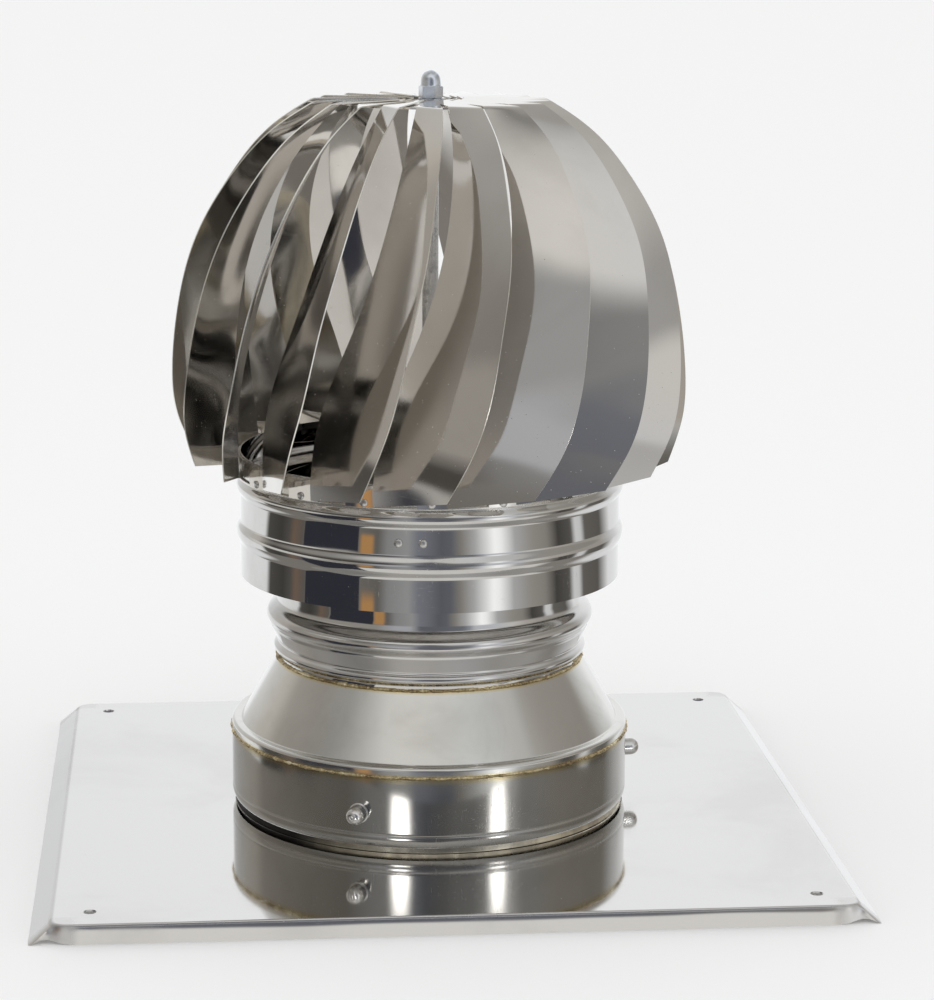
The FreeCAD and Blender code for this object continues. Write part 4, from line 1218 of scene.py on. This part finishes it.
camera = {
    # mm and degrees; the focal length and the long side in pixels, the sensor in mm, the clip in m
    "distance": 1489.4, "turn": -4.509, "height": 475.1, "swing": -0.723, "dip": 11.794,
    "roll": 0.305, "focalPixels": 3017.3, "longSide": 1000.0, "sensor": 36.0, "clip": (0.05, 100.0),
}


def makeFloor():
    half = studio["floorHalf"]
    corners = [(-half, -half, 0), (half, -half, 0), (half, half, 0), (-half, half, 0)]
    floor = meshPiece("floor", corners, [(0, 1, 2, 3)])
    material, paint = newMaterial("paleFloor")
    finishMaterial(paint, {
        "Base Color": (*studio["floorColour"], 1.0), "Roughness": studio["floorRoughness"],
    })
    floor.data.materials.append(material)
    floor.visible_glossy = False


def addGlow(piece, material, paint, share, glow):
    # Glows by a share, lets the rest through and shows in the sheets only
    glowing = paint.put("ShaderNodeEmission", {"Color": (*glow, 1.0)})
    clear = paint.put("ShaderNodeBsdfTransparent")
    surface = paint.put("ShaderNodeMixShader", {0: share, 1: clear, 2: glowing})
    paint.put("ShaderNodeOutputMaterial", {"Surface": surface})
    piece.data.materials.append(material)
    piece.visible_camera = piece.visible_diffuse = piece.visible_shadow = False


def makeCards():
    for name, (turn, distance, low, high, width, glow, soft) in studio["cards"].items():
        angle = math.radians(turn + camera["turn"])
        sine, cosine = math.sin(angle), math.cos(angle)
        half, middle, tall = width / 2, (low + high) / 2, (high - low) / 2
        centre = np.array([sine * distance, -cosine * distance, middle])
        side = np.array([cosine, sine, 0.0]) * half
        up = np.array([0.0, 0.0, tall])
        corners = [(centre + a * side + b * up) * mm
                   for a, b in ((-1, -1), (1, -1), (1, 1), (-1, 1))]
        card = meshPiece(name, corners, [(0, 1, 2, 3)])
        material, paint = newMaterial(name)
        x, y, z = paint.split(paint.put("ShaderNodeTexCoord", out=3))
        fade = 1.0
        for away, reach in ((x * cosine + y * sine, half), (z - middle * mm, tall)):
            outward = paint.maths("ABSOLUTE", away) / (reach * mm)
            fade = (1 - paint.ease(outward, 1 - 2 * soft, 1.0)) * fade
        depth = paint.put("ShaderNodeLightPath", out="Glossy Depth")
        again = paint.ease(depth, *studio["againDepth"])
        lamp = name.startswith("lamp")
        fade = fade ** studio["lampFalloff"] * again if lamp else fade * (1 - again)
        addGlow(card, material, paint, fade, glow)


def makeStrips():
    shift = camera["turn"] - front
    steps, ends = studio["stripSteps"], studio["stripFade"]
    for name, (radius, heights, turns, glow) in studio["strips"].items():
        points, shares = [], []
        for step, turn in enumerate(np.linspace(*turns, steps + 1)):
            inside = min(step / ends, (steps - step) / ends, 1.0)
            for height, share in zip(heights, (0.0, inside, inside, 0.0)):
                points.append(polar(radius, turn + shift, height) * mm)
                shares.append(share)
        faces = [(i * 4 + j, i * 4 + j + 1, i * 4 + j + 5, i * 4 + j + 4)
                 for i in range(steps) for j in range(3)]
        strip = meshPiece(name, points, faces)
        mark = strip.data.attributes.new("share", "FLOAT", "POINT")
        for index, share in enumerate(shares):
            mark.data[index].value = share
        material, paint = newMaterial(name)
        distance = paint.put("ShaderNodeLightPath", out="Ray Length")
        near = 1 - paint.ease(distance, *studio["stripReach"])
        share = paint.put("ShaderNodeAttribute", out="Fac", attribute_name="share")
        addGlow(strip, material, paint, near * share, glow)


def makeStudio():
    world = bpy.data.worlds.new("studio")
    world.use_nodes = True
    world.node_tree.nodes.clear()
    scene.world = world
    paint = Paint(world.node_tree)
    x, y, z = paint.split(paint.put("ShaderNodeTexCoord"))
    turn = paint.maths("DEGREES", paint.maths("ARCTAN2", x, y * -1)) - camera["turn"]
    turn = paint.maths("WRAP", turn, 180.0, -180.0)
    rise = paint.maths("DEGREES", paint.maths("ARCSINE", z))

    def around(stops):  # stops of (turn, colour)
        stops = [((at + 180) / 360, colour) for at, colour in stops]
        return paint.put("ShaderNodeValToRGB", {0: turn / 360 + 0.5}, stops=stops)

    def mirrored(name):
        return around([(at, [bright * part for part in studio["tints"][tint]])
                       for at, bright, tint in studio[name]])

    colour = mirrored("ground")
    colour = paint.mix(paint.ease(rise, *studio["groundEdge"]), colour, mirrored("lowWall"))
    low, high, under, over, soft = studio["orangeLamp"]
    lamp = paint.band(turn, low, high, soft) * paint.band(rise, under, over, soft)
    colour = paint.mix(lamp, colour, studio["orange"])
    colour = paint.mix(paint.ease(rise, *studio["lowEdge"]), colour, mirrored("midWall"))
    colour = paint.mix(paint.ease(rise, *studio["midEdge"]), colour, mirrored("highWall"))
    begins, full, _ = paint.split(around([
        (at, (begin / 90, end / 90, 0.0)) for at, begin, end in studio["ceilingEdge"]
    ]))
    ceiling = paint.ease(rise / 90, begins, full)
    dimFrom, dimTo, dimmed = studio["zenith"]
    dimming = 1 - paint.ease(rise, dimFrom, dimTo) * (1 - dimmed)
    overhead = paint.put("ShaderNodeVectorMath", {0: mirrored("ceiling"), "Scale": dimming},
                         operation="SCALE")
    colour = paint.mix(ceiling, colour, overhead)
    for kind, shade in (("Is Diffuse Ray", "onFloor"), ("Is Camera Ray", "seenDirectly")):
        colour = paint.mix(paint.put("ShaderNodeLightPath", out=kind), colour, studio[shade])
    background = paint.put("ShaderNodeBackground", {"Color": colour, "Strength": 1.0})
    paint.put("ShaderNodeOutputWorld", {"Surface": background})


def makeCamera():
    data = bpy.data.cameras.new("view")
    data.sensor_fit = "AUTO"
    data.sensor_width = camera["sensor"]
    data.lens = camera["focalPixels"] * camera["sensor"] / camera["longSide"]
    data.clip_start, data.clip_end = camera["clip"]
    view = bpy.data.objects.new("view", data)
    scene.collection.objects.link(view)
    distance, turn = camera["distance"], math.radians(camera["turn"])
    facing = turn + math.radians(camera["swing"])
    dip = math.radians(camera["dip"])
    level = math.cos(dip)
    forward = Vector((-math.sin(facing) * level, math.cos(facing) * level, -math.sin(dip)))
    right = Vector((math.cos(facing), math.sin(facing), 0.0))
    axes = Matrix((right, right.cross(forward), -forward)).transposed()
    axes = axes @ Matrix.Rotation(math.radians(camera["roll"]), 3, "Z")
    place = Vector((math.sin(turn) * distance, -math.cos(turn) * distance, camera["height"]))
    view.matrix_world = Matrix.Translation(place * mm) @ axes.to_4x4()
    scene.camera = view


makeFloor()
makeCards()
makeStrips()
makeStudio()
makeCamera()
scene.view_settings.view_transform = "Standard"
print("floor, light and camera made")
